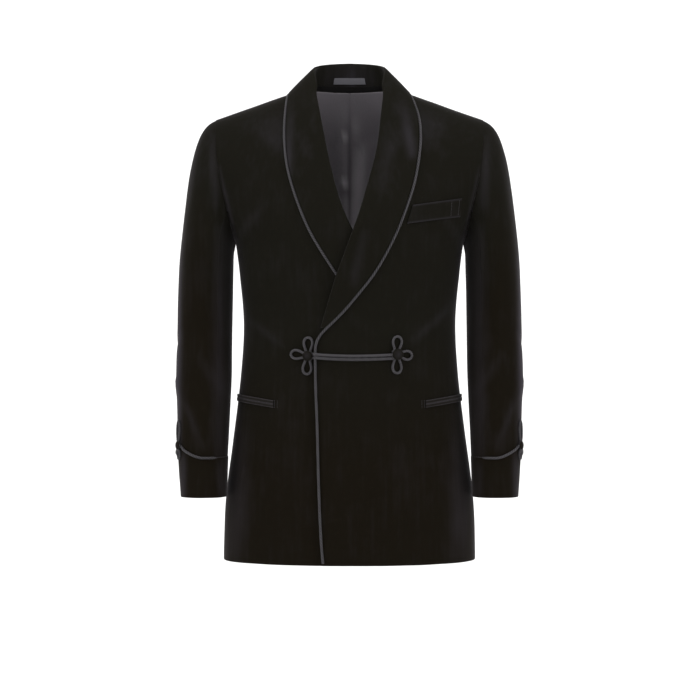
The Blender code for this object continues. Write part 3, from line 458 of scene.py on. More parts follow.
def finish_cloth(piece, round_mm=EDGE_ROUND_MM):
    """Rolls the cut edges over, as they are when a seam is sewn and turned, and smooths the faces."""
    apply_modifier(piece, "DISPLACE", strength=PILE_PROUD_MM * MM, mid_level=0)
    apply_modifier(
        piece, "BEVEL", width=round_mm * MM, segments=2, limit_method="ANGLE", angle_limit=EDGE_ANGLE
    )
    bpy.ops.object.shade_smooth_by_angle(angle=EDGE_ANGLE)


velvet = cotton_velvet("black_cotton_velvet", VELVET_HIGHLIGHT_AND_PATCH_GREY)
satin = satin_weave()

# each crease: seen from, x z of its start, x z of its end, reach and depth in millimetres, and shine, its
# painted highlight; a row with no depth is painted highlight alone
BODY_CREASES = {
    "front_right": (
        ("front", -184, -362, -104, -424, 6, 1.6, 0.07),
        ("front", -165, -338, -110, -372, 8, -1.2, 0),
        ("front", -205, -215, -150, -120, 14, -1.6, 0),
        ("front", -188, -250, -135, -190, 9, 1.1, 0.06),
        ("front", -176, -44, -108, -96, 12, 1.3, 0.12),
        ("front", -150, -50, -96, -60, 34, 0, 0.24),
        ("front", -214, -34, -90, -10, 26, 0, 0.32),
        ("front", -222, -52, -206, -160, 3, -1.6, 0),
        ("front", -214, -125, -187, -246, 2.4, 0.5, 0.5),
        ("front", -120, -455, -30, -462, 8, -0.9, 0),
        ("front", -60, -700, -95, -560, 20, 1.2, 0.03),
        ("front", -188, -560, -194, -760, 22, 0, 0.26),
        ("front", -196, -270, -190, -560, 9, 0, 0.22),
    ),
    "front_left": (
        ("front", 188, -336, 104, -412, 7, 1.6, 0.09),
        ("front", 170, -312, 118, -356, 8, -1.2, 0),
        ("front", 205, -215, 150, -120, 14, -1.6, 0),
        ("front", 188, -250, 135, -190, 9, 1.1, 0.06),
        ("front", 150, -60, 110, -95, 16, 1.3, 0.08),
        ("front", 160, -46, 110, -46, 30, 0, 0.34),
        ("front", 214, -34, 100, -10, 26, 0, 0.4),
        ("front", 222, -52, 206, -160, 3, -1.6, 0),
        ("front", 214, -125, 187, -246, 2.4, 0.5, 0.42),
        ("front", -36, -456, 58, -450, 7, -1.2, 0),
        ("front", 100, -700, 66, -560, 20, 1.2, 0.03),
        ("front", 188, -560, 190, -760, 22, 0, 0.28),
        ("front", 196, -270, 190, -560, 9, 0, 0.22),
    ),
    "back_right": (
        ("back", -168, -352, -80, -392, 9, 1.4, 0.18),
        ("back", -160, -400, -70, -424, 8, -1.2, 0),
        ("back", -198, -190, -140, -110, 15, -1.5, 0.06),
        ("back", -60, -60, -120, -80, 15, 1.0, 0.12),
        ("back", -90, -700, -70, -540, 20, 1.1, 0.05),
        ("back", -200, -30, -70, -8, 18, 0, 0.14),
        ("back", 0, -60, 0, -760, 2.2, -0.8, 0),
        ("back", -5, -60, -5, -760, 3, 0.3, 0.12),
    ),
    "back_left": (
        ("back", 172, -362, 86, -398, 9, 1.4, 0.18),
        ("back", 158, -414, 74, -432, 8, -1.2, 0),
        ("back", 198, -190, 140, -110, 15, -1.5, 0.06),
        ("back", 60, -60, 120, -80, 15, 1.0, 0.12),
        ("back", 96, -690, 74, -540, 20, 1.1, 0.05),
        ("back", 200, -30, 70, -8, 18, 0, 0.14),
        ("back", 0, -60, 0, -760, 2.2, -0.8, 0),
        ("back", 5, -60, 5, -760, 3, 0.3, 0.12),
    ),
}

panels = {}
for node, creases in BODY_CREASES.items():
    panel = take_piece(node, "velvet_" + node)
    subdivide(panel, 2)
    press(panel, creases, body_axis)
    soften(panel)
    finish_cloth(panel)
    panel.data.materials.append(velvet)
    face_inside(panel, body_axis, satin)
    panels[node] = panel


# Back lining
# Grey satin covers the backs inside, in two halves with a centre seam, hemmed to the collar band.
# It is cut a little full, so that it lies in soft vertical folds between its seams.

# the last number of each fold is painted highlight, or painted shade below zero
LINING_CREASES = (
    ("back", 0.6, 0, 0.8, -330, 1.4, 1.6, -0.34),
    ("back", -8, -20, -6, -300, 4, -1.6, 0.12),
    ("back", -8.6, -58, -8.6, -72, 5, -1.0, 0.75),
    ("back", -8.6, -130, -8.6, -142, 5, -1.0, 0.7),
    ("back", 9, -36, 12, -62, 8, -0.6, 0.3),
    ("back", 30, -90, 24, -250, 5, 1.4, -0.06),
    ("back", -26, -50, -14, -210, 8, 1.2, -0.12),
    ("back", -34, -84, -4, -50, 5, 1.2, -0.22),
    ("back", -60, -20, 60, -20, 26, 0, 0.12),
    ("back", 54, -60, 18, -100, 8, -1.2, 0.12),
    ("back", 20, -90, 6, -270, 13, 0, 0.55),
    ("back", -14, -130, -4, -250, 10, 0, 0.16),
    ("back", 20, -215, 48, -160, 7, 1.3, -0.1),
    ("back", -18, -160, 6, -150, 5, 1.0, -0.2),
)
LINING_ROUND_MM = 0.3
CENTRE_GAP_MM = 0.35


def close_centre(piece):
    """Brings a half's centre seam to the middle, so that it meets the other half."""
    points = read_points(piece)
    points[np.abs(points[:, 0]) < CENTRE_GAP_MM * MM, 0] = 0
    write_points(piece, points)


for side in ("right", "left"):
    close_centre(panels["back_" + side])
for side in ("right", "left"):
    lining = take_piece("back_lining_" + side, "satin_back_lining_" + side)
    subdivide(lining, 2)
    press(lining, LINING_CREASES, body_axis)
    close_centre(lining)
    finish_cloth(lining, LINING_ROUND_MM)
    lining.data.materials.append(satin)


# Sleeves
# Each sleeve is cut in two, a wide top sleeve and a narrow under sleeve, and set into the armhole
# with its fullness eased in. The elbow is shaped, so the cloth breaks in soft folds on its inside.

# the last number of each crease is painted highlight; a row with no depth is painted highlight alone
SLEEVE_CREASES = (
    ("front", 284, -478, 236, -590, 5, 1.9, 0.07),
    ("front", 270, -450, 226, -560, 7, -1.3, 0),
    ("front", 204, -500, 250, -436, 8, 1.3, 0.05),
    ("front", 202, -455, 236, -400, 8, -1.2, 0),
    ("front", 262, -520, 246, -600, 6, 0.9, 0.05),
    ("front", 214, -330, 256, -256, 10, -1.2, 0),
    ("front", 224, -52, 208, -160, 4, -1.3, 0),
    ("front", 229, -50, 219, -190, 8, 0.6, 0.13),
    ("front", 252, -64, 268, -150, 12, 1.0, 0.08),
    ("front", 284, -200, 281, -600, 6, 0.4, 0.42),
    ("front", 212, -230, 214, -600, 11, 0, 0.14),
    ("back", 282, -430, 224, -500, 10, 1.8, 0.12),
    ("back", 278, -470, 226, -530, 9, -1.4, 0),
    ("back", 214, -250, 250, -200, 9, -1.1, 0),
)
# on the arm's outer side, where the first two numbers of a place are y and z
OUTER_CREASES = (
    ("outer", -60, -470, 20, -520, 9, 1.4, 0.1),
    ("outer", -66, -395, 10, -430, 9, -1.2, 0),
    ("outer", -30, -90, -46, -190, 9, -1.0, 0.06),
    ("outer", 30, -90, 44, -190, 9, -1.0, 0.06),
)
# height and depth of the arm's middle, from the cuff up to below the shoulder's crown, in metres
ARM_MIDDLE = ((-0.690, -0.048), (-0.593, -0.036), (-0.452, -0.012), (-0.272, 0.0))
ARM_ACROSS = 0.241
ARM_CROWN = -0.2


def sleeve_axis(points):
    """The middle of the arm at each point's height, kept below the shoulder's crown."""
    heights, depths = zip(*ARM_MIDDLE)
    z = np.minimum(points[:, 2], ARM_CROWN)
    return np.column_stack([np.sign(points[:, 0]) * ARM_ACROSS, np.interp(z, heights, depths), z])


def to_side(creases, side):
    """The left sleeve's creases, mirrored where they are for the right one."""
    sign = -1 if side == "right" else 1
    return [
        (side, *rest) if seen == "outer" else (seen, sign * rest[0], rest[1], sign * rest[2], *rest[3:])
        for seen, *rest in creases
    ]


for side in ("right", "left"):
    for half in ("top_sleeve", "under_sleeve"):
        sleeve = take_piece(f"{half}_{side}", f"velvet_{half}_{side}")
        subdivide(sleeve, 2)
        press(sleeve, to_side(SLEEVE_CREASES + OUTER_CREASES, side), sleeve_axis)
        soften(sleeve)
        finish_cloth(sleeve)
        sleeve.data.materials.append(velvet)
        face_inside(sleeve, sleeve_axis, satin)
        panels[f"{half}_{side}"] = sleeve


# Cuffs
# A separate band of velvet closes each sleeve below the cord. Its hem is turned in and pressed,
# and its seam with the sleeve lies under the cord.

# painted highlight alone: pale bands down the cuff
CUFF_CREASES = (
    ("front", 271, -600, 272, -670, 6, 0, 0.22),
    ("front", 212, -610, 210, -668, 6, 0, 0.1),
)
CUFF_DRAPE_MM = 0.9
CUFF_DRAPE_PATCH_MM = 60
CUFF_ROUND_MM = 1.0

for side in ("right", "left"):
    cuff = take_piece("cuff_" + side, "velvet_cuff_" + side)
    subdivide(cuff, 3)
    press(cuff, to_side(CUFF_CREASES, side), sleeve_axis)
    soften(cuff, CUFF_DRAPE_MM, CUFF_DRAPE_PATCH_MM)
    finish_cloth(cuff, CUFF_ROUND_MM)
    cuff.data.materials.append(velvet)
    face_inside(cuff, sleeve_axis, satin)
    panels["cuff_" + side] = cuff


# Shawl collar
# One velvet-faced collar runs from the centre-back seam over the shoulders into both lapels.
# It stands at the neck, rolls over a soft edge and lies on the fronts, where its edge is corded.

# a row with no depth is painted highlight alone, as along the lapels and up the centre back of the stand
COLLAR_CREASES = {
    "right": (
        ("front", -86, -70, -64, -118, 9, 1.0, 0.06),
        ("front", -50, -190, -76, -160, 9, -0.8, 0),
        ("front", -96, 0, -101, -150, 7, 0, 0.28),
        ("front", -86, 14, -72, -30, 9, 0, 0.24),
        ("front", -56, 30, -60, -70, 6, 0, 0.12),
        ("front", -100, -160, -70, -250, 4, 0, 0.12),
        ("back", -60, 34, 10, 34, 28, 0, 0.85),
        ("back", -1, -10, -1, 48, 6, 0, 0.8),
    ),
    "left": (
        ("front", 86, -64, 66, -116, 9, 1.0, 0.06),
        ("front", 30, -250, 66, -206, 9, -0.8, 0),
        ("front", 85, 10, 102, -110, 9, 0, 0.4),
        ("front", 82, 14, 78, -40, 9, 0, 0.18),
        ("front", 66, -60, 52, -170, 12, 0, 0.08),
        ("front", 24, -240, 6, -320, 9, 0, 0.1),
        ("back", 60, 34, -10, 34, 28, 0, 0.85),
        ("back", 5, -10, 5, 48, 7, 0, 1.1),
    ),
}
COLLAR_ROUND_MM = 0.9

for side in ("right", "left"):
    collar = take_piece("collar_" + side, "velvet_collar_" + side)
    subdivide(collar, 2)
    close_centre(collar)
    press(collar, COLLAR_CREASES[side], body_axis)
    finish_cloth(collar, COLLAR_ROUND_MM)
    collar.data.materials.append(velvet)


# Neck band and label
# A dark satin band covers the seam between the collar and the back lining. The label above it
# is a strip of grey woven tape, left bare and sewn down at its ends.

TAPE_GREY = "#504f54"
TAPE_RIBS = ("#48474c", "#59585d")
# real ribs are about 0.4 mm apart, and are drawn coarser so that they show
RIB_MM = 1.21
# how many bands the wave texture draws in one unit at a scale of 1
WAVE_BANDS = 20 / (2 * math.pi)
BAND_BLACK = "#0a0909"
# drawn coarser than its thread, as on the grey satin
BAND_SLUB_MM = 2.4
STRIP_ROUND_MM = 0.2


def woven_tape():
    """Ribbed polyester tape: matt grey, with fine ribs that stand up across it."""
    made, tree, shader = new_material("grey_woven_tape", TAPE_GREY, Roughness=0.7, Specular_IOR_Level=0.2)
    place = add_node(tree, "ShaderNodeTexCoord").outputs["Object"]
    rib = add_node(
        tree, "ShaderNodeTexWave", {"Scale": 1 / (WAVE_BANDS * RIB_MM * MM), "Distortion": 0.4},
        {"Vector": place},
    )
    colour = add_node(
        tree, "ShaderNodeMix", {"data_type": "RGBA", 6: linear(TAPE_RIBS[0]), 7: linear(TAPE_RIBS[1])},
        {0: rib.outputs["Fac"]},
    )
    raised = add_node(
        tree, "ShaderNodeBump", {"Strength": 0.4, "Distance": 0.3 * MM}, {"Height": rib.outputs["Fac"]}
    )
    tree.links.new(colour.outputs[2], shader.inputs["Base Color"])
    tree.links.new(raised.outputs["Normal"], shader.inputs["Normal"])
    return made


def dark_satin():
    """The same satin drawn near-black: it hardly shines in the shade of the collar's stand."""
    made, tree, shader = new_material("dark_satin", BAND_BLACK, Roughness=0.55, Specular_IOR_Level=0.05)
    place = add_node(tree, "ShaderNodeTexCoord").outputs["Object"]
    slub = add_node(tree, "ShaderNodeTexNoise", {"Scale": 1 / (BAND_SLUB_MM * MM)}, {"Vector": place})
    raised = add_node(
        tree, "ShaderNodeBump", {"Strength": 0.15, "Distance": 0.4 * MM}, {"Height": slub.outputs["Fac"]}
    )
    tree.links.new(raised.outputs["Normal"], shader.inputs["Normal"])
    return made


# node, title, cloth, record slot, and width and length of the cut in metres
NECK_STRIPS = (
    ("neck_band", "satin_neck_band", dark_satin(), "lining", (0.155, 0.012)),
    ("neck_label", "bare_label", woven_tape(), "label", (0.055, 0.0115)),
)

for node, title, cloth, record_slot, cut in NECK_STRIPS:
    strip = take_piece(node, title)
    subdivide(strip, 2)
    finish_cloth(strip, STRIP_ROUND_MM)
    strip.data.materials.append(cloth)


# Corded edges
# A twisted rayon cord, three strands laid right-handed, is oversewn along the edge of the collar
# and on down the left front to the hem. It sinks a little into the pile.

CORD_RADIUS = 2.3
# the real lay is about 10 mm, and is drawn longer so that the strands show
CORD_LAY = 16.0
STRANDS = 3
POINTS_A_TURN = 9
# a strand's own radius, and how far its middle is from the cord's, as shares of the cord's radius
STRAND_RADIUS = 0.48
STRAND_OFFSET = 0.52
# a strand's crown starts at this share of the cord's radius
CROWN_FROM = 0.76
# how far a cord's middle stands off the cloth, as a share of its radius
CORD_SEAT = 0.95
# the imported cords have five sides
RING_POINTS = 5
# how near to its packed place a cord looks for cloth to lie on
CORD_REACH = 9.0
# x and z of a point at the centre back, where both cords start
EDGE_START = {"right": (-0.5, -8.5), "left": (0.5, -8.5)}
RAYON_GREY = "#3a383b"
RAYON_LIGHT = "#4a484b"
# painted shade, down in the lay between the strands
RAYON_PAINTED_LAY_SHADE = "#040304"
# a real filament is far finer than 0.1 mm, so the fibre is drawn as coarse as it can show
FIBRE_MM = 1.1


def twisted_rayon():
    """Dull rayon cord: grey on the crown of each strand, with near-black painted shade down in the lay
    between them.
    """
    made, tree, shader = new_material(
        "charcoal_rayon_cord", RAYON_GREY, Roughness=0.6, Specular_IOR_Level=0.2,
        Sheen_Weight=0.05, Sheen_Roughness=0.4, Sheen_Tint=linear("#c0bcc4"),
    )
    place = add_node(tree, "ShaderNodeTexCoord").outputs["Object"]
    fibre = add_node(
        tree, "ShaderNodeTexNoise", {"Scale": 1 / (FIBRE_MM * MM), "Detail": 2.0}, {"Vector": place}
    )
    colour = add_node(
        tree, "ShaderNodeMix", {"data_type": "RGBA", 6: linear(RAYON_GREY), 7: linear(RAYON_LIGHT)},
        {0: fibre.outputs["Fac"]},
    )
    crown = add_node(tree, "ShaderNodeAttribute", {"attribute_name": "crown"})
    colour = add_node(
        tree, "ShaderNodeMix", {"data_type": "RGBA", 6: linear(RAYON_PAINTED_LAY_SHADE)},
        {0: crown.outputs["Fac"], 7: colour.outputs[2]},
    )
    raised = add_node(
        tree, "ShaderNodeBump", {"Strength": 0.3, "Distance": 0.3 * MM}, {"Height": fibre.outputs["Fac"]}
    )
    tree.links.new(colour.outputs[2], shader.inputs["Base Color"])
    tree.links.new(raised.outputs["Normal"], shader.inputs["Normal"])
    return made


rayon = twisted_rayon()


def centre_line(node, start):
    """Middle of each ring of a packed cord, from the cut end nearest to start, which is x and z in mm."""
    shape = bmesh.new()
    shape.from_mesh(frame["nodes"][node].data)
    bmesh.ops.remove_doubles(shape, verts=shape.verts, dist=MERGE_MM * MM)
    x, z = start[0] * MM, start[1] * MM
    ring = sorted(shape.verts, key=lambda v: math.hypot(v.co.x - x, v.co.z - z))[:RING_POINTS]
    seen, route = set(), []
    while ring:
        seen.update(ring)
        route.append(sum((v.co for v in ring), Vector()) / len(ring))
        ring = list({e.other_vert(v) for v in ring for e in v.link_edges} - seen)
    shape.free()
    return route


def lay_on(route, carriers, lift, reach=CORD_REACH):
    """Lays a route on the nearest of some pieces, its middle line lifted off them, in millimetres."""
    laid = []
    for point in route:
        found = []
        for carrier in carriers:
            hit, near, normal, _ = carrier.closest_point_on_mesh(Vector(point))
            if hit:
                found.append(((near - Vector(point)).length, near, normal))
        gap, near, normal = min(found, key=lambda f: f[0])
        if gap < reach * MM:
            point = near + normal * lift * MM
        laid.append((np.array(point), np.array(normal)))
    return laid


def smooth_line(values, closed):
    """A three-point average along a line, which keeps its ends."""
    if closed:
        return (np.roll(values, 1, axis=0) + 2 * values + np.roll(values, -1, axis=0)) / 4
    inner = (values[:-2] + 2 * values[1:-1] + values[2:]) / 4
    return np.concatenate([values[:1], inner, values[-1:]])


def smooth_spline(walked, points, places, closed):
    """Points at these places along a line, rounded between the given ones."""
    slopes = np.gradient(points, walked, axis=0)
    if closed:
        slopes[0] = slopes[-1] = (points[1] - points[-2]) / (walked[1] + walked[-1] - walked[-2])
    k = np.clip(np.searchsorted(walked, places, side="right") - 1, 0, len(walked) - 2)
    step = (walked[k + 1] - walked[k])[:, None]
    t = ((places - walked[k])[:, None]) / step
    before, after = points[k], points[k + 1]
    rise = (1 - t) ** 2 * (1 + 2 * t) * before + t * t * (3 - 2 * t) * after
    lean = t * (1 - t) ** 2 * slopes[k] - t * t * (1 - t) * slopes[k + 1]
    return rise + step * lean


def mark_crown(cord, middle_line, radius):
    """Keeps where a cord's skin is out on the crown of a strand, which takes the lighter grey; further in,
    it takes the painted shade of the lay.
    """
    skin = read_points(cord)
    from_middle = np.concatenate([
        np.linalg.norm(some[:, None] - middle_line[None], axis=2).min(axis=1)
        for some in np.array_split(skin, max(len(skin) // 500, 1))
    ])
    crown = cord.data.attributes.new("crown", "FLOAT", "POINT")
    share = ramp(from_middle, radius * CROWN_FROM * MM, radius * MM)
    crown.data.foreach_set("value", share.astype(np.float32))


def twist_cord(title, laid, radius, replaced, lay=CORD_LAY, closed=False, hand=1):
    """Winds the strands of a cord round its middle line, and makes them one mesh."""
    points = np.array([p for p, n in laid])
    normals = np.array([n for p, n in laid])
    points, normals = smooth_line(points, closed), smooth_line(smooth_line(normals, closed), closed)
    if closed:
        points, normals = np.vstack([points, points[:1]]), np.vstack([normals, normals[:1]])
    walked = np.concatenate([[0], np.cumsum(np.linalg.norm(np.diff(points, axis=0), axis=1))])
    turns = walked[-1] / (lay * MM)
    if closed:
        turns = max(round(turns), 2)
    places = np.linspace(0, walked[-1], int(turns * POINTS_A_TURN) + 1)
    fine = smooth_spline(walked, points, places, closed)
    upward = np.column_stack([np.interp(places, walked, normals[:, k]) for k in range(3)])
    ahead = np.gradient(fine, axis=0)
    if closed:
        ahead[0] = ahead[-1] = fine[1] - fine[-2]
    ahead /= np.linalg.norm(ahead, axis=1, keepdims=True)
    aside = np.cross(ahead, upward)
    aside /= np.linalg.norm(aside, axis=1, keepdims=True)
    upward = np.cross(aside, ahead)
    curve = bpy.data.curves.new(title, "CURVE")
    curve.dimensions = "3D"
    curve.bevel_depth = radius * STRAND_RADIUS * MM
    curve.bevel_resolution = 1
    curve.use_fill_caps = True
    for strand in range(STRANDS):
        turn = 2 * math.pi * (hand * turns * places / walked[-1] + strand / STRANDS)
        away = np.cos(turn)[:, None] * aside + np.sin(turn)[:, None] * upward
        strand_points = fine + away * radius * STRAND_OFFSET * MM
        if closed:
            strand_points = strand_points[:-1]
        line = curve.splines.new("POLY")
        line.points.add(len(strand_points) - 1)
        line.points.foreach_set("co", np.column_stack([strand_points, np.ones(len(strand_points))]).ravel())
        line.use_cyclic_u = closed
    cord = bpy.data.objects.new(title, curve)
    bpy.context.scene.collection.objects.link(cord)
    bpy.ops.object.select_all(action="DESELECT")
    cord.select_set(True)
    bpy.context.view_layer.objects.active = cord
    bpy.ops.object.convert(target="MESH")
    cord = bpy.context.view_layer.objects.active
    bpy.ops.object.shade_smooth()
    mark_crown(cord, fine, radius)
    cord.data.materials.append(rayon)
    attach(cord, "root")
    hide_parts(replaced)


for side in ("right", "left"):
    node = "edge_cord_" + side
    carriers = [panels["front_" + side], panels["back_" + side]]
    laid = lay_on(centre_line(node, EDGE_START[side]), carriers, CORD_RADIUS * CORD_SEAT)
    twist_cord("twisted_" + node, laid, CORD_RADIUS, node)


# Cuff cords and cuff frogs
# The same cord runs round each sleeve on the cuff's seam and rises to the outer side. There it is
# worked into a small frog: a long loop above, a short one below, and a velvet knot between them.

CUFF_CORD_RADIUS = 2.2
CUFF_CORD_POINTS = 72
CUFF_SEAM_HEIGHT = -603.0
CUFF_SEAM_RISE = 20.0
CUFF_RISE_POWER = 1.5
# x and y of the cuff's middle, and the half width and half depth of a ring just outside it
CUFF_MIDDLE = (241, -38)
CUFF_RING = (48, 60)
CUFF_REACH = 30
# how far round from the sleeve's side the frog sits, towards the front, and how far the cord climbs
FROG_TURN = math.radians(35)
RISE_REACH = math.radians(57)
# how far the cord sinks into the pile next to the body, and between which distances from the middle
SINK_MM = 4.3
SINK_FROM = 229
SINK_FULL = 214
LOOP_CORD_RADIUS = 2.0
LOOP_CORD_SEAT = 1.05
LOOP_LAY = 9.0
LOOP_POINTS = 16
# the loops are drawn this far from the middle, clear of the sleeve, and then laid on it
LOOP_ASIDE = 290
# name, then the depth, height, half height and half width of each loop's middle line
CUFF_LOOPS = (("upper", -65.0, -560.75, 17.75, 8.4), ("lower", -70.6, -598.0, 8.5, 7.2))


def cuff_ring(sign):
    """The cuff cord's route just outside one cuff: level round the seam and up to the cuff frog."""
    ring = []
    for k in range(CUFF_CORD_POINTS):
        bend = 2 * math.pi * k / CUFF_CORD_POINTS
        away = min(abs((bend - FROG_TURN + math.pi) % (2 * math.pi) - math.pi) / RISE_REACH, 1)
        across = CUFF_MIDDLE[0] + CUFF_RING[0] * math.cos(bend)
        deep = CUFF_MIDDLE[1] - CUFF_RING[1] * math.sin(bend)
        height = CUFF_SEAM_HEIGHT + CUFF_SEAM_RISE * (1 - away) ** CUFF_RISE_POWER
        ring.append(Vector((sign * across, deep, height)) * MM)
    return ring


def cuff_loop(sign, deep, height, half_height, half_width):
    """One loop of a cuff frog, as an oval beside the sleeve."""
    loop = []
    for k in range(LOOP_POINTS):
        bend = 2 * math.pi * k / LOOP_POINTS
        spot = (sign * LOOP_ASIDE, deep + half_width * math.cos(bend), height + half_height * math.sin(bend))
        loop.append(Vector(spot) * MM)
    return loop


for side, sign in (("right", -1), ("left", 1)):
    carriers = [panels[f"{part}_{side}"] for part in ("cuff", "top_sleeve", "under_sleeve")]
    laid = [
        (point - normal * SINK_MM * MM * ramp(sign * point[0], SINK_FROM * MM, SINK_FULL * MM), normal)
        for point, normal in lay_on(cuff_ring(sign), carriers, CUFF_CORD_RADIUS * CORD_SEAT, CUFF_REACH)
    ]
    node = "cuff_cord_" + side
    twist_cord("twisted_" + node, laid, CUFF_CORD_RADIUS, node, closed=True, hand=sign)
    for name, *sizes in CUFF_LOOPS:
        laid = lay_on(cuff_loop(sign, *sizes), carriers, LOOP_CORD_RADIUS * LOOP_CORD_SEAT, CUFF_REACH)
        node = f"cuff_loop_{name}_{side}"
        twist_cord("twisted_" + node, laid, LOOP_CORD_RADIUS, node, LOOP_LAY, closed=True, hand=sign)


# Velvet buttons and knots
# Each button is a padded mould covered in the jacket's velvet, gathered in small pleats underneath.
# They are sewn through the crossing of their cords.

# node, title, number of gathers, and how far its thread pulls it down onto its cords in millimetres
COVERED = (
    ("frog_button_right", "velvet_button_right", 9, 1.0),
    ("frog_button_left", "velvet_button_left", 11, 1.0),
    ("cuff_knot_right", "velvet_knot_right", 7, 1.8),
    ("cuff_knot_left", "velvet_knot_left", 7, 1.8),
)
GATHER_MM = 0.35
# painted highlight on each button's crown, fading to nothing at its rim
BUTTON_TOP_HIGHLIGHT = 0.18

for node, title, pleats, sink in COVERED:
    button = take_piece(node, title)
    subdivide(button, 3)
    points = read_points(button)
    middle = points.mean(axis=0)
    out = points - middle
    axis = np.linalg.svd(out, full_matrices=False)[2][2]
    flat = out - (out @ axis)[:, None] * axis
    spread = np.linalg.norm(flat, axis=1)
    first = flat[np.argmax(spread)] / spread.max()
    turn = np.arctan2(flat @ np.cross(axis, first), flat @ first)
    edge = (spread / spread.max()) ** 3
    gathers = GATHER_MM * MM * edge * np.abs(np.cos(turn * pleats / 2))
    if axis @ (middle - body_axis(middle[None])[0] * (1, 0, 1)) < 0:
        axis = -axis
    points = points + flat / np.maximum(spread, 1e-6)[:, None] * gathers[:, None]
    write_points(button, points - axis * sink * MM)
    write_painted_light(button, BUTTON_TOP_HIGHLIGHT * np.clip(1 - spread / spread.max(), 0, 1))
    bpy.ops.object.shade_smooth()
    button.data.materials.append(velvet)


# Frog fastening
# Each frog is one length of cord worked into three loops and sewn down along its underside.
# The double cord between them is a pair twisted opposite ways, so that it reads as a braid.

FROG_CORD_RADIUS = 2.2
BAR_CORD_RADIUS = 2.6
BAR_LAY = 12.0
# the double cord lies on the left front only where its packed place is this near to it
BAR_REACH = 3.6
# the double cord runs on under the left button by this much
BAR_TUCK_MM = 5.0
# x and z of a point at the cut end where each packed cord starts, in millimetres
FROG_START = {"right": (-58.9, -434.1), "left": (68.2, -431.3)}
BAR_START = {"upper": (-58.4, -434.2), "lower": (-58.4, -439.8)}

for side in ("right", "left"):
    node = "frog_" + side
    laid = lay_on(centre_line(node, FROG_START[side]), [panels["front_" + side]], FROG_CORD_RADIUS)
    twist_cord("twisted_" + node, laid, FROG_CORD_RADIUS, node, LOOP_LAY)
for name, hand in (("upper", 1), ("lower", -1)):
    node = "frog_bar_" + name
    route = centre_line(node, BAR_START[name])
    route.append(route[-1] + (route[-1] - route[-2]).normalized() * BAR_TUCK_MM * MM)
    laid = lay_on(route, [panels["front_left"]], BAR_CORD_RADIUS, BAR_REACH)
    twist_cord("twisted_bar_" + name, laid, BAR_CORD_RADIUS, node, BAR_LAY, hand=hand)


# Pockets
# The breast pocket is a slanted welt, sewn down at its ends with two rows of stitches. Each hip
# pocket is a pair of jets cut across the pile, closed by a tack at the front. The jets' paler grey,
# and the light along the edges of jets and welt, are painted highlight.

VELVET_ACROSS_HIGHLIGHT_AND_PATCH_GREY = "#454246"
JET_ROUND_MM = 0.6
WELT_ROUND_MM = 0.7
# the painted highlight on a strip and at its two long edges, and how far the edges' painted highlight
# reaches in millimetres
JET_HIGHLIGHT = (0.05, 0.42, 1.2)
WELT_HIGHLIGHT = (0.03, 0.28, 1.3)
STRIP_STEPS = 24
STITCH_STEP_MM = 2.2
STITCH_LONG_MM = 1.5
STITCH_RADIUS_MM = 0.45
STITCH_PROUD_MM = 0.3
# the stitches are drawn this far towards the paler grey, all over
THREAD_PALENESS = 0.6
PROBE_DEPTH = -200
# name, then x and z of a row's two ends in millimetres, on the welt and by each hip pocket
WELT_ROWS = (("outer", (179.6, -183.0), (177.4, -207.5)), ("inner", (166.6, -185.5), (165.0, -209.5)))
TACK_ROWS = (("stitches", (121.6, -508.4), (121.8, -521.6)), ("ends", (117.2, -508.8), (117.4, -522.2)))

# the same velvet, for strips cut with the pile across: a paler grey paints the light that such pile catches
velvet_across_highlight = cotton_velvet("black_velvet_across_painted_highlight", VELVET_ACROSS_HIGHLIGHT_AND_PATCH_GREY)


def paint_edge_highlight(piece, inner, edge, reach_mm):
    """Paints highlight along a strip's two long edges, where it is turned over the fold."""
    points = read_points(piece)
    long_way = np.linalg.svd(points - points.mean(axis=0), full_matrices=False)[2][0]
    along = (points - points.mean(axis=0)) @ long_way
    share = (along - along.min()) / np.ptp(along)
    bins = np.clip((share * STRIP_STEPS).astype(int), 0, STRIP_STEPS - 1)
    high = np.array([points[bins == k, 2].max() for k in range(STRIP_STEPS)])
    low = np.array([points[bins == k, 2].min() for k in range(STRIP_STEPS)])
    centres = along.min() + (np.arange(STRIP_STEPS) + 0.5) * np.ptp(along) / STRIP_STEPS
    top, foot = np.interp(along, centres, high), np.interp(along, centres, low)
    aside = np.minimum(np.abs(top - points[:, 2]), np.abs(points[:, 2] - foot))
    write_painted_light(piece, inner + (edge - inner) * np.exp(-((aside / (reach_mm * MM)) ** 2)))


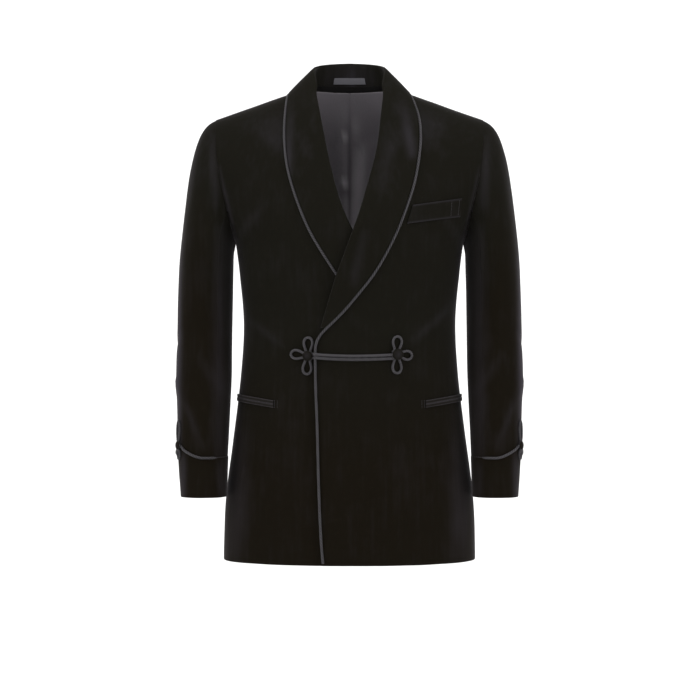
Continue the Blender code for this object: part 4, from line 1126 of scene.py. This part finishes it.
for side in ("right", "left"):
    for jet in ("upper", "lower"):
        strip = take_piece(f"hip_jet_{jet}_{side}", f"velvet_hip_jet_{jet}_{side}")
        subdivide(strip, 2)
        paint_edge_highlight(strip, *JET_HIGHLIGHT)
        finish_cloth(strip, JET_ROUND_MM)
        strip.data.materials.append(velvet_across_highlight)
welt = take_piece("breast_pocket_welt", "velvet_breast_welt")
subdivide(welt, 3)
paint_edge_highlight(welt, *WELT_HIGHLIGHT)
finish_cloth(welt, WELT_ROUND_MM)
welt.data.materials.append(velvet)


def stitch_row(title, start, end, carrier):
    """A row of small stitches between two places on a front, given as x and z in millimetres."""
    start, end = np.array(start), np.array(end)
    length = np.linalg.norm(end - start)
    count = max(int(length / STITCH_STEP_MM), 2)
    along = (end - start) / length
    half_sizes = (STITCH_LONG_MM / 2, STITCH_RADIUS_MM, STITCH_RADIUS_MM)
    threads = []
    for k in range(count):
        x, z = start + along * (k + 0.5) * length / count
        bpy.ops.object.select_all(action="DESELECT")
        bpy.ops.mesh.primitive_uv_sphere_add(segments=8, ring_count=6, radius=1)
        thread = bpy.context.object
        probe = Vector((x, PROBE_DEPTH, z)) * MM
        _, near, normal, _ = carrier.ray_cast(probe, Vector((0, 1, 0)))
        direction = Vector((along[0], 0, along[1]))
        direction = (direction - normal * direction.dot(normal)).normalized()
        turn = direction.to_track_quat("X", "Z").to_matrix().to_4x4()
        for vertex in thread.data.vertices:
            spot = Vector([size * place for size, place in zip(half_sizes, vertex.co)]) * MM
            vertex.co = turn @ spot + near + normal * STITCH_PROUD_MM * MM
        threads.append(thread)
    bpy.ops.object.select_all(action="DESELECT")
    for thread in threads:
        thread.select_set(True)
    bpy.context.view_layer.objects.active = threads[0]
    bpy.ops.object.join()
    row = bpy.context.view_layer.objects.active
    row.name = row.data.name = title
    bpy.ops.object.shade_smooth()
    write_painted_light(row, np.full(len(row.data.vertices), THREAD_PALENESS))
    row.data.materials.append(velvet_across_highlight)
    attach(row, "root")


for name, start, end in WELT_ROWS:
    stitch_row("welt_stitches_" + name, start, end, welt)
for side, sign in (("right", -1), ("left", 1)):
    for name, (start_x, start_z), (end_x, end_z) in TACK_ROWS:
        start, end = (sign * start_x, start_z), (sign * end_x, end_z)
        stitch_row(f"tack_{name}_{side}", start, end, panels["front_" + side])
